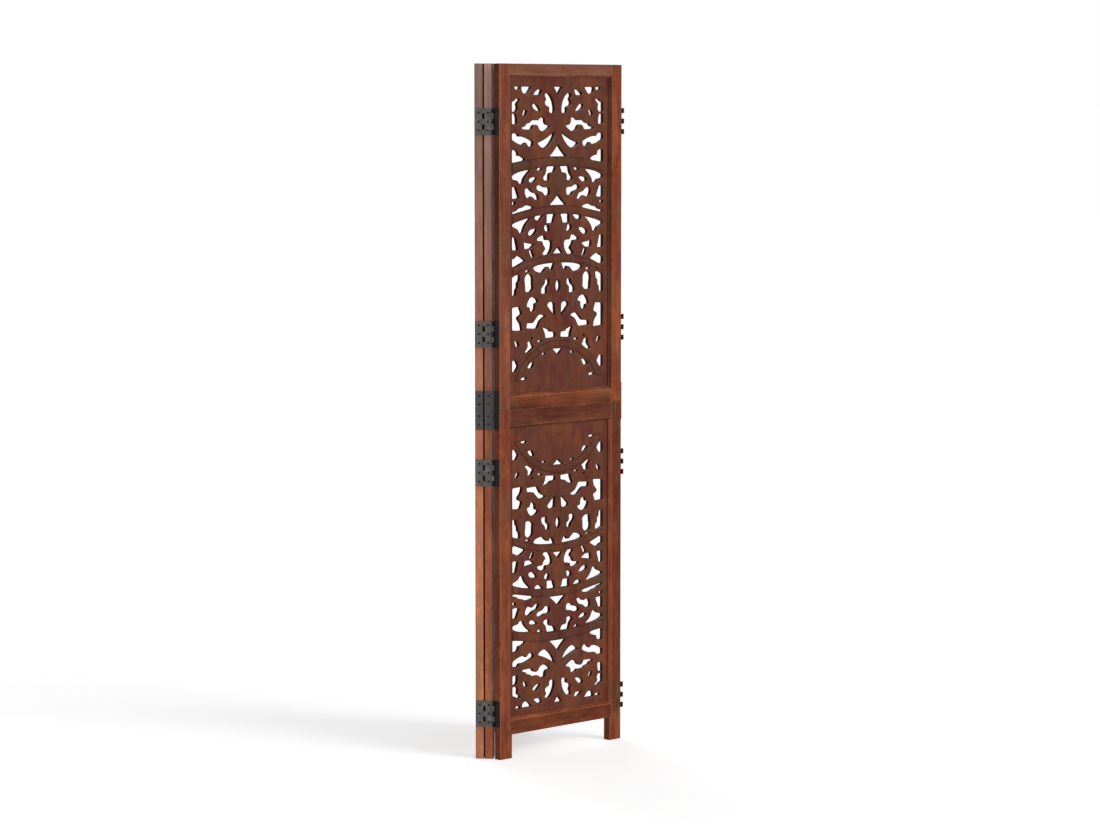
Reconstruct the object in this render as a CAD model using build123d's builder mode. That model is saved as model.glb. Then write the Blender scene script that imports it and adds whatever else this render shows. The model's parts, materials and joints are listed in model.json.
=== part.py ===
"""Carved jali screen: three hinged wooden panels, each an upper and a lower half.

Millimetres, +Z up. A panel is drawn once in its own frame: x from its left edge to its right
edge, y from its front face (0) to its back face, z from the floor. Finished copies are then
placed as they stand: the front panel faces -Y, the middle panel hangs on its left edge and
stands open behind it, and the rear panel is folded flat against the middle one.
"""

from build123d import *
import os

# ---------------------------------------------------------------- driving dimensions
panel_width = 400
panel_height = 1650
panel_thickness = 20
seam_height = 835           # where the upper half stands on the lower half
arris = 1.5                 # rounding of the long outside edges

stile_width = 38
top_rail_width = 31
upper_middle_rail_width = 37    # above the seam
lower_middle_rail_width = 44    # below the seam
bottom_rail_width = 40
leg_length = 57             # from the floor to the underside of the bottom rail
bevel = 6                   # chamfer round the inside of each frame

board_thickness = 10
tongue_thickness = 7        # the edge of the board, thinned from the back to fit its groove
board_gap = 0.5             # between the thick part of the board and its frame
board_depth = 9             # from the front of the frame to the face of the carved board
groove_depth = 8
groove_gap = 0.5            # room for the board to swell in its groove
tenon_length = 22
tenon_shoulder = 9
mortise_gap = 0.3           # left at the end of each tenon

margin_left = 11            # plain wood between the left stile and the carving
margin_right = 15           # and between the carving and the right stile
lower_margins = (34, 17)    # between the carving and its rails: at the seam and at the other end
upper_margins = (30.5, 23)
band_height = 1.2           # how far the plain arched bands stand proud

leaf_height = 63
leaf_thickness = 1.5
leaf_inset = 2              # from the arris to the free edge of a leaf
hinge_above_floor = 78      # from the floor to the foot of the lowest hinge
hinge_below_seam = 117      # from the head of a hinge to the seam
hinge_above_seam = 149      # from the seam to the foot of the next hinge
hinge_below_top = 104       # from the head of the highest hinge to the top of the panel
knuckle_radius = 3
knuckle_count = 5
knuckle_gap = 0.3           # between neighbouring knuckles
pin_radius = 1.4
pin_clearance = 0.05
pin_offset = 3              # from the edge of a panel to the hinge axis
fold_gap = 2                # between two folded panels

plate_height = 92           # joining plates across the seam
plate_thickness = 2
plate_inset = 1
plate_screw_rows = [14, 34]     # screws of a joining plate, above and below the seam

screw_radius = 1.5
screw_head_radius = 3
screw_length = 15
leaf_screw_pitch = 21

opening_angle = 42          # between the front panel and the middle panel as they stand

# ---------------------------------------------------------------- derived places
groove_back = board_depth + tongue_thickness
lower_opening = (leg_length + bottom_rail_width, seam_height - lower_middle_rail_width)
upper_opening = (seam_height + upper_middle_rail_width, panel_height - top_rail_width)
edge_centre = panel_thickness / 2
knuckle_length = leaf_height / knuckle_count
leaf_heights = [
    hinge_above_floor,
    seam_height - hinge_below_seam - leaf_height,
    seam_height + hinge_above_seam,
    panel_height - hinge_below_top - leaf_height,
]
hinge_reach = panel_thickness + fold_gap / 2    # hinge axis, from the far face of a panel
sweep_radius = knuckle_radius + knuckle_gap     # what a leaf keeps clear of round the axis
leaf_reach = hinge_reach - (sweep_radius ** 2 - (pin_offset - leaf_thickness) ** 2) ** 0.5

# ---------------------------------------------------------------- the carving
# Drawn on the right half of a board: x from the centre line, y up from the seam, for a field
# 150 wide on each side, from 70 to 766. Each corner is (x, y) or (x, y, rise), where rise is
# how far the edge that starts there bows out of the opening, or into it when negative.
field_half_width = 150
field_foot = 70
field_top = 766

crown_openings = [
    [(53, 760), (66, 760, 1.5), (81, 747), (58, 747)],
    [(56, 709, 0.5), (71, 726, 1), (83, 725, 1.5), (83, 718, 1.5), (68, 709)],
    [(87, 766), (120, 766), (118, 756, 1), (112, 750), (100, 750, 0.5)],
    [(123, 766), (143, 766), (139, 759), (126, 759)],
    [(100, 712), (112, 712), (117, 698), (106, 697)],
    [(123, 736, 1), (136, 739), (140, 734, -1), (150, 731), (150, 707), (137, 707, 1),
     (131, 716), (134, 726), (128, 731)],
    [(138, 703), (150, 703), (150, 678), (133, 678), (134, 694, 0.5)],
    [(12, 704, 7), (30, 751, 1), (43, 750, 0.5), (43, 743), (38, 737), (43, 731, 1.5),
     (40, 722), (30, 719), (28, 714), (30, 710, 1.5), (25, 704, 0.5)],
    [(25, 674), (37, 676, -3), (42, 692, 2), (58, 692, 1.5), (64, 686), (72, 687, 0.5),
     (88, 686, -1), (95, 680), (104, 679, -1), (109, 672), (119, 670), (117, 666),
     (85, 665, -11), (63, 667, 2), (46, 660, 1.5)],
    [(10, 662, 6), (42, 621, 4), (67, 633, -3)],
    [(80, 636, 1.5), (112, 648, 0.5), (127, 648), (131, 656), (150, 656), (150, 641),
     (142, 637, 2), (112, 629), (105, 636, 0.5), (97, 625), (84, 624)],
    [(106, 595), (118, 602), (129, 603), (131, 613), (138, 617), (150, 617),
     (150, 586), (112, 591)],
]

second_openings = [
    [(6, 577), (37, 577), (40, 562, -1), (49, 552, 2), (43, 543), (28, 544), (29, 553, -1.5),
     (24, 562), (12, 563, -0.5)],
    [(50, 573, 0.5), (64, 574, 1), (70, 570), (67, 567), (58, 567)],
    [(67, 551, 1), (88, 551, 1), (96, 546, 1), (93, 540), (82, 539, 1)],
    [(89, 569, 1), (120, 566, 1.5), (150, 556), (150, 549, 1), (136, 546, -1.5), (127, 537),
     (114, 537, -1.5), (107, 553, -1)],
    [(27, 524, 1), (31, 527), (41, 527, -1), (52, 532, 1), (68, 532, 1), (71, 526, 1),
     (65, 520), (52, 517, -1), (45, 508), (32, 508, 1.5), (27, 514)],
    [(62, 498, 1), (69, 513), (79, 515, -1), (92, 525, 1), (108, 525, 1), (108, 512),
     (103, 503), (90, 503), (87, 508), (75, 498)],
    [(126, 504), (137, 530), (150, 530), (150, 502), (134, 502)],
    [(138, 495), (150, 495), (150, 486), (139, 487)],
    [(79, 481, 1), (103, 486, 1), (118, 480), (129, 479), (138, 472), (150, 470),
     (150, 466), (137, 467), (84, 477, 1)],
]

third_openings = [
    [(8, 463), (38, 463, -1), (38, 442), (15, 442, -1)],
    [(31, 438), (42, 438, 1), (46, 430, 1), (40, 422), (27, 422)],
    [(48, 461), (70, 460, 0.5), (78, 457, 0.5), (74, 450), (60, 449)],
    [(68, 429, 1), (88, 428, 1.5), (98, 420, 2), (93, 413, 0.5), (82, 414, 1.5)],
    [(89, 455, 1), (120, 450, 1), (150, 441), (150, 437), (133, 430, -1), (127, 420),
     (115, 420, -1), (107, 438, -1)],
    [(42, 412, 1), (56, 412, 1), (70, 404, 1), (66, 400), (53, 400, -1), (49, 390),
     (41, 382, -1), (51, 371, 1), (48, 366), (32, 366, 4.5), (20, 397, 1), (28, 401),
     (40, 401)],
    [(77, 391, 1), (98, 395), (104, 398, 0.5), (112, 398), (110, 382), (97, 382), (87, 384, -1)],
    [(84, 379), (96, 379, 1), (87, 361), (76, 361, -1)],
    [(138, 411), (150, 411), (150, 380), (130, 380)],
    [(106, 354, 0.5), (124, 365, 0.5), (137, 366), (142, 360), (150, 359), (150, 341),
     (137, 341)],
]

tall_openings = [
    [(10, 346, 1), (60, 343, 1), (82, 337, 1), (73, 328), (62, 325, 0.5), (50, 324, -1),
     (33, 339), (29, 336), (27, 329), (18, 329, -1)],
    [(91, 332), (107, 331), (108, 327), (94, 327)],
    [(87, 320, 0.5), (93, 323), (103, 322), (109, 314, 1), (108, 299), (107, 280),
     (90, 279, 0.5), (81, 288, -1), (82, 312, 0.5)],
    [(124, 321, 0.5), (136, 321, 0.5), (150, 315), (150, 271), (138, 272), (136, 288),
     (131, 290), (132, 302), (126, 306)],
    [(30, 308), (42, 308, -1), (45, 296), (54, 288, 1), (55, 274), (36, 273), (37, 288),
     (28, 296, 0.5)],
    [(64, 254, 2.5), (78, 266, 1), (91, 266, 2), (103, 245), (93, 243), (91, 232),
     (79, 232), (74, 241), (75, 251)],
    [(11, 250, 1.5), (28, 253, 1.5), (36, 245, 0.5), (9, 218)],
    [(40, 219, 1), (52, 224), (64, 224), (82, 205, -1), (101, 206), (104, 193),
     (68, 191), (58, 209, -1)],
    [(124, 246), (150, 244), (150, 190), (117, 188), (120, 203, 0.5), (131, 216), (130, 221),
     (118, 227, 1), (121, 236)],
    [(9, 180), (24, 181), (28, 187), (37, 189), (41, 193), (50, 192), (44, 180, -1),
     (42, 166), (8, 168)],
]

arch_openings = [
    [(51, 163), (66, 163), (68, 158), (55, 158)],
    [(81, 171), (91, 171), (90, 166), (82, 166)],
    [(84, 157), (88, 161), (101, 161, -0.5), (99, 149, -0.5), (110, 136), (98, 134),
     (78, 147), (83, 151)],
    [(132, 164), (143, 164, 0.5), (137, 150), (126, 150, 0.5)],
    [(39, 132), (52, 132), (54, 127), (42, 126)],
    [(77, 111), (90, 111, 0.5), (101, 99), (97, 96), (84, 97)],
    [(137, 118), (150, 118), (150, 90), (139, 90), (129, 104)],
    [(101, 72), (106, 77), (120, 75), (124, 72), (117, 70), (104, 70)],
]

# Openings on the centre line, each symmetrical about it.
centre_openings = [
    [(-14, 766), (14, 766, -1.5), (0, 743, -1.5)],
    [(-28, 601), (28, 601, -1.5), (0, 631, -1.5)],
    [(-28, 485), (28, 485, -1), (0, 511, -1)],
    [(-17, 369), (17, 369, -1), (0, 387, -1)],
    [(0, 309, 8.5), (0, 274, 8.5)],
    [(-18, 140), (18, 140, -1), (0, 123, -1)],
]

# Plain bands between the sections: (edge of the field, centre line) of their two outlines.
shallow_bands = [
    [(564, 579), (583, 598)],
    [(446, 465), (461, 482)],
    [(322, 350), (333.5, 364.5)],
]
arch_centre = -1
arch_inner_radius = 146
arch_outer_radius = 160


def board_plane(depth, seam_rail, going_up):
    """The carving's plane: y runs away from the seam, the front face is in front of it."""
    if going_up:
        return Plane(origin=(panel_width / 2, depth, seam_rail), x_dir=(1, 0, 0), z_dir=(0, -1, 0))
    return Plane(origin=(panel_width / 2, depth, seam_rail), x_dir=(1, 0, 0), z_dir=(0, 1, 0))


def outline_edges(corners, scale_x, scale_y):
    """The straight and bowed edges of one opening, scaled to the board."""
    sides = list(zip(corners, corners[1:] + corners[:1]))
    turn = sum(start[0] * end[1] - end[0] * start[1] for start, end in sides)
    outward = -1 if turn > 0 else 1
    with BuildLine() as outline:
        for start, end in sides:
            first = (start[0] * scale_x, (start[1] - field_foot) * scale_y)
            second = (end[0] * scale_x, (end[1] - field_foot) * scale_y)
            if len(start) == 3:
                SagittaArc(first, second, start[2] * outward * min(scale_x, scale_y))
            else:
                Line(first, second)
    return outline.edges()


def jali_board(opening, going_up, margins):
    """A carved board: its thin edge is held all round in the groove of the frame."""
    length = opening[1] - opening[0]
    seam_rail = opening[0] if going_up else opening[1]
    margin_seam, margin_end = margins
    clear_width = panel_width - 2 * stile_width
    tongue = groove_depth - groove_gap
    scale_x = (clear_width - margin_left - margin_right) / 2 / field_half_width
    scale_y = (length - margin_seam - margin_end) / (field_top - field_foot)
    face = board_plane(board_depth, seam_rail, going_up)
    foot = face.from_local_coords(((margin_left - margin_right) / 2, margin_seam, 0))
    carving = Plane(origin=foot, x_dir=face.x_dir, z_dir=face.z_dir)
    inward = -1 if going_up else 1
    with BuildPart() as board:
        for reach, thickness in ((tongue, tongue_thickness), (-board_gap, board_thickness)):
            with BuildSketch(face):
                with Locations((0, length / 2)):
                    Rectangle(clear_width + 2 * reach, length + 2 * reach)
            extrude(amount=inward * thickness)
        with BuildSketch(carving):
            for (side, middle), (side_top, middle_top) in shallow_bands:
                half = field_half_width * scale_x
                levels = [(y - field_foot) * scale_y for y in (side, middle, side_top, middle_top)]
                with BuildLine():
                    ThreePointArc((-half, levels[0]), (0, levels[1]), (half, levels[0]))
                    Line((half, levels[0]), (half, levels[2]))
                    ThreePointArc((half, levels[2]), (0, levels[3]), (-half, levels[2]))
                    Line((-half, levels[2]), (-half, levels[0]))
                make_face()
            make_face(arch_edges(scale_x, scale_y))
        extrude(amount=-inward * band_height)
        with BuildSketch(carving):
            for corners in crown_openings + second_openings + third_openings + tall_openings + arch_openings:
                make_face(outline_edges(corners, scale_x, scale_y))
            mirror(about=Plane.YZ)
            for corners in centre_openings:
                make_face(outline_edges(corners, scale_x, scale_y))
        extrude(amount=inward * board_thickness, mode=Mode.SUBTRACT)
    return board


def arch_edges(scale_x, scale_y):
    """The outline of the round arch over the plain foot of a board."""
    rise = field_foot - arch_centre
    radii = (arch_inner_radius, arch_outer_radius)
    ends = [(radius ** 2 - rise ** 2) ** 0.5 * scale_x for radius in radii]
    tops = [(radius - rise) * scale_y for radius in radii]
    with BuildLine() as outline:
        ThreePointArc((-ends[0], 0), (0, tops[0]), (ends[0], 0))
        Line((ends[0], 0), (ends[1], 0))
        ThreePointArc((ends[1], 0), (0, tops[1]), (-ends[1], 0))
        Line((-ends[1], 0), (-ends[0], 0))
    return outline.edges()


# ---------------------------------------------------------------- fastenings in a panel's edge
def leaf_screw_heights(foot):
    """Heights of the three screws of the hinge leaf whose lower end is at foot."""
    return [foot + leaf_height / 2 + leaf_screw_pitch * row for row in (-1, 0, 1)]


def hinge_screw_heights():
    return [z for foot in leaf_heights for z in leaf_screw_heights(foot)]


def plate_screw_heights():
    return [seam_height + side * row for side in (-1, 1) for row in plate_screw_rows]


def edge_plane(on_left, height, out=0):
    """A plane on a panel's edge at a screw, facing out; out is how far it stands off the edge."""
    if on_left:
        return Plane(origin=(-out, edge_centre, height), x_dir=(0, 1, 0), z_dir=(-1, 0, 0))
    return Plane(origin=(panel_width + out, edge_centre, height), x_dir=(0, 1, 0), z_dir=(1, 0, 0))


def stile(on_left, foot, head, opening, mortises):
    """An upright with its groove, its bevel, the mortises of its rails and its screw holes."""
    outside = 0 if on_left else panel_width
    inward = 1 if on_left else -1
    inside = outside + inward * stile_width
    groove_middle = (board_depth + groove_back) / 2
    with BuildPart() as upright:
        with BuildSketch(Plane.XY.offset(foot)) as section:
            with Locations((outside + inward * stile_width / 2, panel_thickness / 2)):
                Rectangle(stile_width, panel_thickness)
            fillet(section.vertices().group_by(Axis.X)[0 if on_left else -1], arris)
        extrude(amount=head - foot)
        with BuildSketch(Plane.XY.offset(mortises[0][0])):
            with BuildLine():
                Polyline((inside - inward * bevel, 0), (inside, bevel), (inside, 0), close=True)
            make_face()
        extrude(amount=head - mortises[0][0], mode=Mode.SUBTRACT)
        with BuildSketch(Plane.XY.offset(opening[0] - groove_depth)):
            with Locations((inside - inward * groove_depth / 2, groove_middle)):
                Rectangle(groove_depth, tongue_thickness)
        extrude(amount=opening[1] - opening[0] + 2 * groove_depth, mode=Mode.SUBTRACT)
        for low, high in mortises:
            with BuildSketch(Plane.XY.offset(low + tenon_shoulder)):
                with Locations((inside - inward * (tenon_length + mortise_gap) / 2, groove_middle)):
                    Rectangle(tenon_length + mortise_gap, tongue_thickness)
            extrude(amount=high - low - 2 * tenon_shoulder, mode=Mode.SUBTRACT)
        for height in hinge_screw_heights() + plate_screw_heights():
            if foot < height < head:
                with BuildSketch(edge_plane(on_left, height)):
                    Circle(screw_radius)
                extrude(amount=-screw_length, mode=Mode.SUBTRACT)
    return upright


def rail(low, high, grooved_top):
    """A cross rail: scribed over the bevels of the stiles, with a tenon at each end."""
    edge = high if grooved_top else low
    towards = 1 if grooved_top else -1
    groove_floor = edge - towards * groove_depth
    left = stile_width
    right = panel_width - stile_width
    with BuildPart() as bar:
        with BuildSketch(Plane.YZ.offset(left - bevel)):
            with BuildLine():
                Polyline(
                    (0, low + high - edge), (0, edge - towards * bevel), (bevel, edge), (board_depth, edge),
                    (board_depth, groove_floor), (groove_back, groove_floor),
                    (groove_back, edge), (panel_thickness, edge), (panel_thickness, low + high - edge),
                    close=True,
                )
            make_face()
        extrude(amount=right - left + 2 * bevel)
        with BuildSketch(Plane.XY.offset(low)):
            for end, outward in ((left, -1), (right, 1)):
                with BuildLine():
                    Polyline(
                        (end + outward * bevel, 0), (end, bevel), (end, panel_thickness),
                        (end + outward * bevel, panel_thickness), close=True,
                    )
                make_face()
        extrude(amount=high - low, mode=Mode.SUBTRACT)
        with BuildSketch(Plane.XY.offset(low + tenon_shoulder)):
            for end, outward in ((left, -1), (right, 1)):
                with Locations((end + outward * tenon_length / 2, (board_depth + groove_back) / 2)):
                    Rectangle(tenon_length, tongue_thickness)
        extrude(amount=high - low - 2 * tenon_shoulder)
    return bar


def hinge_leaves(on_left, axis_at_back, knuckles):
    """The four leaves on one edge of a panel, with the knuckles that this side carries."""
    outward = -1 if on_left else 1
    plate_centre = (0 if on_left else panel_width) + outward * leaf_thickness / 2
    axis_x = (0 if on_left else panel_width) + outward * pin_offset
    axis_y = hinge_reach if axis_at_back else panel_thickness - hinge_reach
    free_side = leaf_inset if axis_at_back else panel_thickness - leaf_inset
    hinge_side = leaf_reach if axis_at_back else panel_thickness - leaf_reach
    with BuildPart() as leaves:
        for foot in leaf_heights:
            with BuildSketch(Plane.XY.offset(foot)):
                with Locations((plate_centre, (free_side + hinge_side) / 2)):
                    Rectangle(leaf_thickness, abs(hinge_side - free_side))
            extrude(amount=leaf_height)
            for number in knuckles:
                with BuildSketch(Plane.XY.offset(foot + number * knuckle_length + knuckle_gap / 2)):
                    with Locations((plate_centre, (free_side + axis_y) / 2)):
                        Rectangle(leaf_thickness, abs(axis_y - free_side))
                    with Locations((axis_x, axis_y)):
                        Circle(knuckle_radius)
                extrude(amount=knuckle_length - knuckle_gap)
            with BuildSketch(Plane.XY.offset(foot)):
                with Locations((axis_x, axis_y)):
                    Circle(pin_radius + pin_clearance)
            extrude(amount=leaf_height, mode=Mode.SUBTRACT)
        with Locations([edge_plane(on_left, height, leaf_thickness) for height in hinge_screw_heights()]):
            CounterSinkHole(screw_radius, screw_head_radius, leaf_thickness, counter_sink_angle=90)
    return leaves


def joining_plates():
    """The two flat plates that hold the upper half on the lower half, one on each edge."""
    with BuildPart() as plates:
        for on_left in (True, False):
            places = [edge_plane(on_left, height, plate_thickness) for height in plate_screw_heights()]
            with BuildSketch(edge_plane(on_left, seam_height)):
                RectangleRounded(panel_thickness - 2 * plate_inset, plate_height, arris)
            extrude(amount=plate_thickness)
            with Locations(places):
                CounterSinkHole(screw_radius, screw_head_radius, plate_thickness, counter_sink_angle=90)
    return plates


def screws(heights, standing_out):
    """Countersunk screws in both edges, their heads flush with what they hold."""
    with BuildPart() as fasteners:
        for on_left in (True, False):
            for height in heights:
                with BuildSketch(edge_plane(on_left, height, standing_out)):
                    Circle(screw_head_radius)
                extrude(amount=screw_radius - screw_head_radius, taper=45)
                with BuildSketch(edge_plane(on_left, height, standing_out)):
                    Circle(screw_radius)
                extrude(amount=-screw_length)
    return fasteners


def hinge_pins(axis_x, axis_y):
    """The four pins of one hinge line."""
    with BuildPart() as pins:
        for foot in leaf_heights:
            with BuildSketch(Plane.XY.offset(foot)):
                with Locations((axis_x, axis_y)):
                    Circle(pin_radius)
            extrude(amount=leaf_height)
    return pins


# ---------------------------------------------------------------- the pieces of a panel
bottom_rail_span = (leg_length, lower_opening[0])
lower_middle_span = (lower_opening[1], seam_height)
upper_middle_span = (seam_height, upper_opening[0])
top_rail_span = (upper_opening[1], panel_height)
lower_rails = (bottom_rail_span, lower_middle_span)
upper_rails = (upper_middle_span, top_rail_span)
outer_knuckles = range(0, knuckle_count, 2)
inner_knuckles = range(1, knuckle_count, 2)

panel_pieces = {
    "lower_left_stile": stile(True, 0, seam_height, lower_opening, lower_rails),
    "lower_right_stile": stile(False, 0, seam_height, lower_opening, lower_rails),
    "upper_left_stile": stile(True, seam_height, panel_height, upper_opening, upper_rails),
    "upper_right_stile": stile(False, seam_height, panel_height, upper_opening, upper_rails),
    "bottom_rail": rail(*bottom_rail_span, True),
    "lower_middle_rail": rail(*lower_middle_span, False),
    "upper_middle_rail": rail(*upper_middle_span, True),
    "top_rail": rail(*top_rail_span, False),
    "lower_jali_board": jali_board(lower_opening, False, lower_margins),
    "upper_jali_board": jali_board(upper_opening, True, upper_margins),
    "joining_plates": joining_plates(),
    "plate_screws": screws(plate_screw_heights(), plate_thickness),
    "hinge_screws": screws(hinge_screw_heights(), leaf_thickness),
}
outer_pieces = {
    "left_hinge_leaves": hinge_leaves(True, True, outer_knuckles),
    "right_hinge_leaves": hinge_leaves(False, False, outer_knuckles),
}
far_pieces = outer_pieces | {"left_hinge_leaves": hinge_leaves(True, False, outer_knuckles)}
middle_pieces = {
    "left_hinge_leaves": hinge_leaves(True, False, inner_knuckles),
    "right_hinge_leaves": hinge_leaves(False, True, inner_knuckles),
}
pins_at_back = hinge_pins(-pin_offset, hinge_reach)
pins_at_front = hinge_pins(-pin_offset, panel_thickness - hinge_reach)

# ---------------------------------------------------------------- the panels as they stand
# Each fold is a half turn about its hinge line. The middle panel is folded behind the front one
# and then opened; the rear panel stays folded against the middle one.
front_axis = Vector(-pin_offset, hinge_reach)
rear_axis_on_middle = Vector(-pin_offset, panel_thickness - hinge_reach)


def turn_about(point, angle):
    return Location(point) * Location((0, 0, 0), (0, 0, angle)) * Location(-point)


unfolded_beside = Location((-panel_width - 2 * pin_offset, 0, 0))
front_place = Location((0, 0, 0))
middle_place = turn_about(front_axis, 180 + opening_angle) * unfolded_beside
rear_place = middle_place * turn_about(rear_axis_on_middle, 180) * unfolded_beside

placed = []
for panel, place, leaves in (
    ("front", front_place, outer_pieces),
    ("middle", middle_place, middle_pieces),
    ("rear", rear_place, far_pieces),
):
    for name, piece in (panel_pieces | leaves).items():
        copy = piece.part.moved(place)
        copy.label = f"{panel}_{name}"
        placed.append(copy)
for label, pins, place in (
    ("front_hinge_pins", pins_at_back, front_place),
    ("rear_hinge_pins", pins_at_front, middle_place),
):
    copy = pins.part.moved(place)
    copy.label = label
    placed.append(copy)

whole = Compound(placed).bounding_box()
to_origin = Location((-whole.center().X, -whole.center().Y, 0))

os.makedirs("parts", exist_ok=True)
for piece in placed:
    finished = piece.moved(to_origin)
    finished.label = piece.label
    export_step(finished, f"parts/{finished.label}.step")

print("size", whole.size)
print("front hinge axis", (to_origin * Location(front_axis)).position)
print("rear hinge axis", (to_origin * middle_place * Location(rear_axis_on_middle)).position)
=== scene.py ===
# %% [markdown]
# # A carved jali screen
#
# A folding screen of three wooden panels. Each panel is two framed boards, one standing on the
# other, and each board is pierced with leaves and scrolls. This lesson dresses the engineer's
# model of it: the frames get softened edges and real wood, the boards get their carved relief,
# and the hinges get blackened steel with proper screws.
#
# Everything is in metres and in the same place as the engineer's model, so nothing is fitted by
# eye. The first cell loads that model and keeps its outer box to compare with at the end.

# %% Load the frame
import json
import math

import bmesh
import bpy
import numpy as np
from mathutils import Matrix, Vector
from mathutils.geometry import delaunay_2d_cdt
from mathutils.kdtree import KDTree


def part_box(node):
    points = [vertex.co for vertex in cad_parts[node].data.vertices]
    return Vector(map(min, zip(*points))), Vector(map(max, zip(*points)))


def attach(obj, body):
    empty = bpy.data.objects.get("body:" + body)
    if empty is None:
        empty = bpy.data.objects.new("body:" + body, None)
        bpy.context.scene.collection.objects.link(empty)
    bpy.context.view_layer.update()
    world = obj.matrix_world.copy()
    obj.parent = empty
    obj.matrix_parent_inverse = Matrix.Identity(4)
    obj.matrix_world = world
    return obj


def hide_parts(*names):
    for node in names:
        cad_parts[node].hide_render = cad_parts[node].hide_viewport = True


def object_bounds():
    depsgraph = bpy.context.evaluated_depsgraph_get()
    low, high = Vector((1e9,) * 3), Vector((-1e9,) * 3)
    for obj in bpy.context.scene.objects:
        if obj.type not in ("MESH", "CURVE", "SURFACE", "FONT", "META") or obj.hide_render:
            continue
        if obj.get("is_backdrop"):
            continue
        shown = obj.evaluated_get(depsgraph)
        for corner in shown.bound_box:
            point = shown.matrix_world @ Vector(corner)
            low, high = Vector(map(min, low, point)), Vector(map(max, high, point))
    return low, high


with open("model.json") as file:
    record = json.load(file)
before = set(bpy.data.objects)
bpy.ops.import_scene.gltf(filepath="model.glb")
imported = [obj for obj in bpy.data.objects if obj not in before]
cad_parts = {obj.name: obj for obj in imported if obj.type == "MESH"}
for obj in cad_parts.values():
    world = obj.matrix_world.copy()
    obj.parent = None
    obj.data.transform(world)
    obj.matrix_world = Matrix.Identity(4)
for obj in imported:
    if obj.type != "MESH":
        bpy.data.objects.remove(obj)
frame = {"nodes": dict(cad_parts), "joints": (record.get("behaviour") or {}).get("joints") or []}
cad_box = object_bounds()
nodes = frame["nodes"]
joints = {joint["name"]: joint for joint in frame["joints"]}
MM = 0.001

# %% [markdown]
# ## Where the three panels stand
#
# The three panels are alike, so each piece is made once, in the panel's own frame: x from its
# left edge, y from its front face, z from the floor. Then three objects share that mesh. Each
# object needs a matrix that says where its panel stands.
#
# The front panel's matrix is a plain shift. The others hang on hinges, so theirs are a turn about
# a hinge line. Both lines are read from the joints, and the opening angle from the joint's limit,
# so the panels stay right if the model changes.

# %% Panel frames
low_stile, low_stile_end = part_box("front_lower_left_stile")
_, high_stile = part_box("front_upper_right_stile")
CORNER = Vector((low_stile.x, low_stile.y, 0.0))
WIDTH = high_stile.x - low_stile.x
HEIGHT = high_stile.z
THICKNESS = high_stile.y - low_stile.y
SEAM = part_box("front_upper_left_stile")[0].z
STILE = low_stile_end.x - low_stile.x
front_line = Vector(joints["front_hinge"]["pos_m"])
rear_line = Vector(joints["rear_hinge"]["pos_m"])
opening_angle = math.radians(-joints["front_hinge"]["range_deg"][0])
knuckle_offset = CORNER.x - front_line.x
line_depth = front_line.y - CORNER.y


def turned(line, local_x, local_y, angle):
    """A panel's matrix: its own point (local_x, local_y) lies on the hinge line, turned by angle."""
    place = Matrix.Translation((line.x, line.y, 0.0))
    return place @ Matrix.Rotation(angle, 4, "Z") @ Matrix.Translation((-local_x, -local_y, 0.0))


far_x = WIDTH + knuckle_offset
panel_place = {
    "front": Matrix.Translation(CORNER),
    "middle": turned(front_line, far_x, line_depth, math.pi + opening_angle),
    "rear": turned(rear_line, far_x, THICKNESS - line_depth, opening_angle),
}
print("panel", round(WIDTH, 4), "x", round(HEIGHT, 4), "x", round(THICKNESS, 4), "seam at", round(SEAM, 4))

# %% [markdown]
# ## The camera
#
# The camera stands well back and to the left, a little above the middle of the screen, with a
# long lens. A long lens from far away keeps the uprights almost parallel, as in a catalogue
# picture. Its place is given from the front panel's lower left corner. A new camera, lamp or mesh
# shows up only once an object holds it and the object is linked into the scene, so a small helper
# does both.

# %% Camera
SENSOR_WIDTH, LENS = 36.0, 106.95  # both in millimetres
FARTHEST_SEEN = 60.0
CAMERA_FROM_CORNER = Vector((-5.1586, -5.6757, 1.5501))
HEADING, DOWNWARD = math.radians(43.15), math.radians(5.344)


def placed(name, data):
    """A new object that holds a mesh, a lamp or a camera, linked into the scene."""
    made = bpy.data.objects.new(name, data)
    bpy.context.scene.collection.objects.link(made)
    return made


camera_data = bpy.data.cameras.new("camera")
camera_data.sensor_width = SENSOR_WIDTH
camera_data.lens = LENS
camera_data.clip_end = FARTHEST_SEEN
camera = placed("camera", camera_data)
camera.location = CORNER + CAMERA_FROM_CORNER
camera.rotation_euler = (math.pi / 2 - DOWNWARD, 0.0, -HEADING)
bpy.context.scene.camera = camera
print("camera at", [round(value, 3) for value in camera.location])

# %% [markdown]
# ## A white background that doesn't light the wood
#
# The background should be white without pouring more light on the wood. Light Path tells the
# world and the floor when the camera, a reflection or clear glass looks at them, so they can look
# white there and still light the object gently.
#
# This is the first node tree, so the helpers for nodes start here: one makes a node, one fills
# its sockets, and one does sums.

# %% World
WORLD_FILL, WORLD_SEEN = 0.30, 1.0
WHITE = (1.0, 1.0, 1.0, 1.0)


def node(tree, kind, **settings):
    """A new node with its settings."""
    made = tree.nodes.new(kind)
    for key, value in settings.items():
        setattr(made, key, value)
    return made


def put(tree, target, sources):
    """Fill sockets, by name or number: a value is written down, and another socket is linked."""
    for socket, source in sources.items():
        if isinstance(source, bpy.types.NodeSocket):
            tree.links.new(source, target.inputs[socket])
        else:
            target.inputs[socket].default_value = source


def calculated(tree, operation, first, second, clamp=False):
    """A math node; returns its value socket."""
    maths = node(tree, "ShaderNodeMath", operation=operation, use_clamp=clamp)
    put(tree, maths, {0: first, 1: second})
    return maths.outputs[0]


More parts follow.
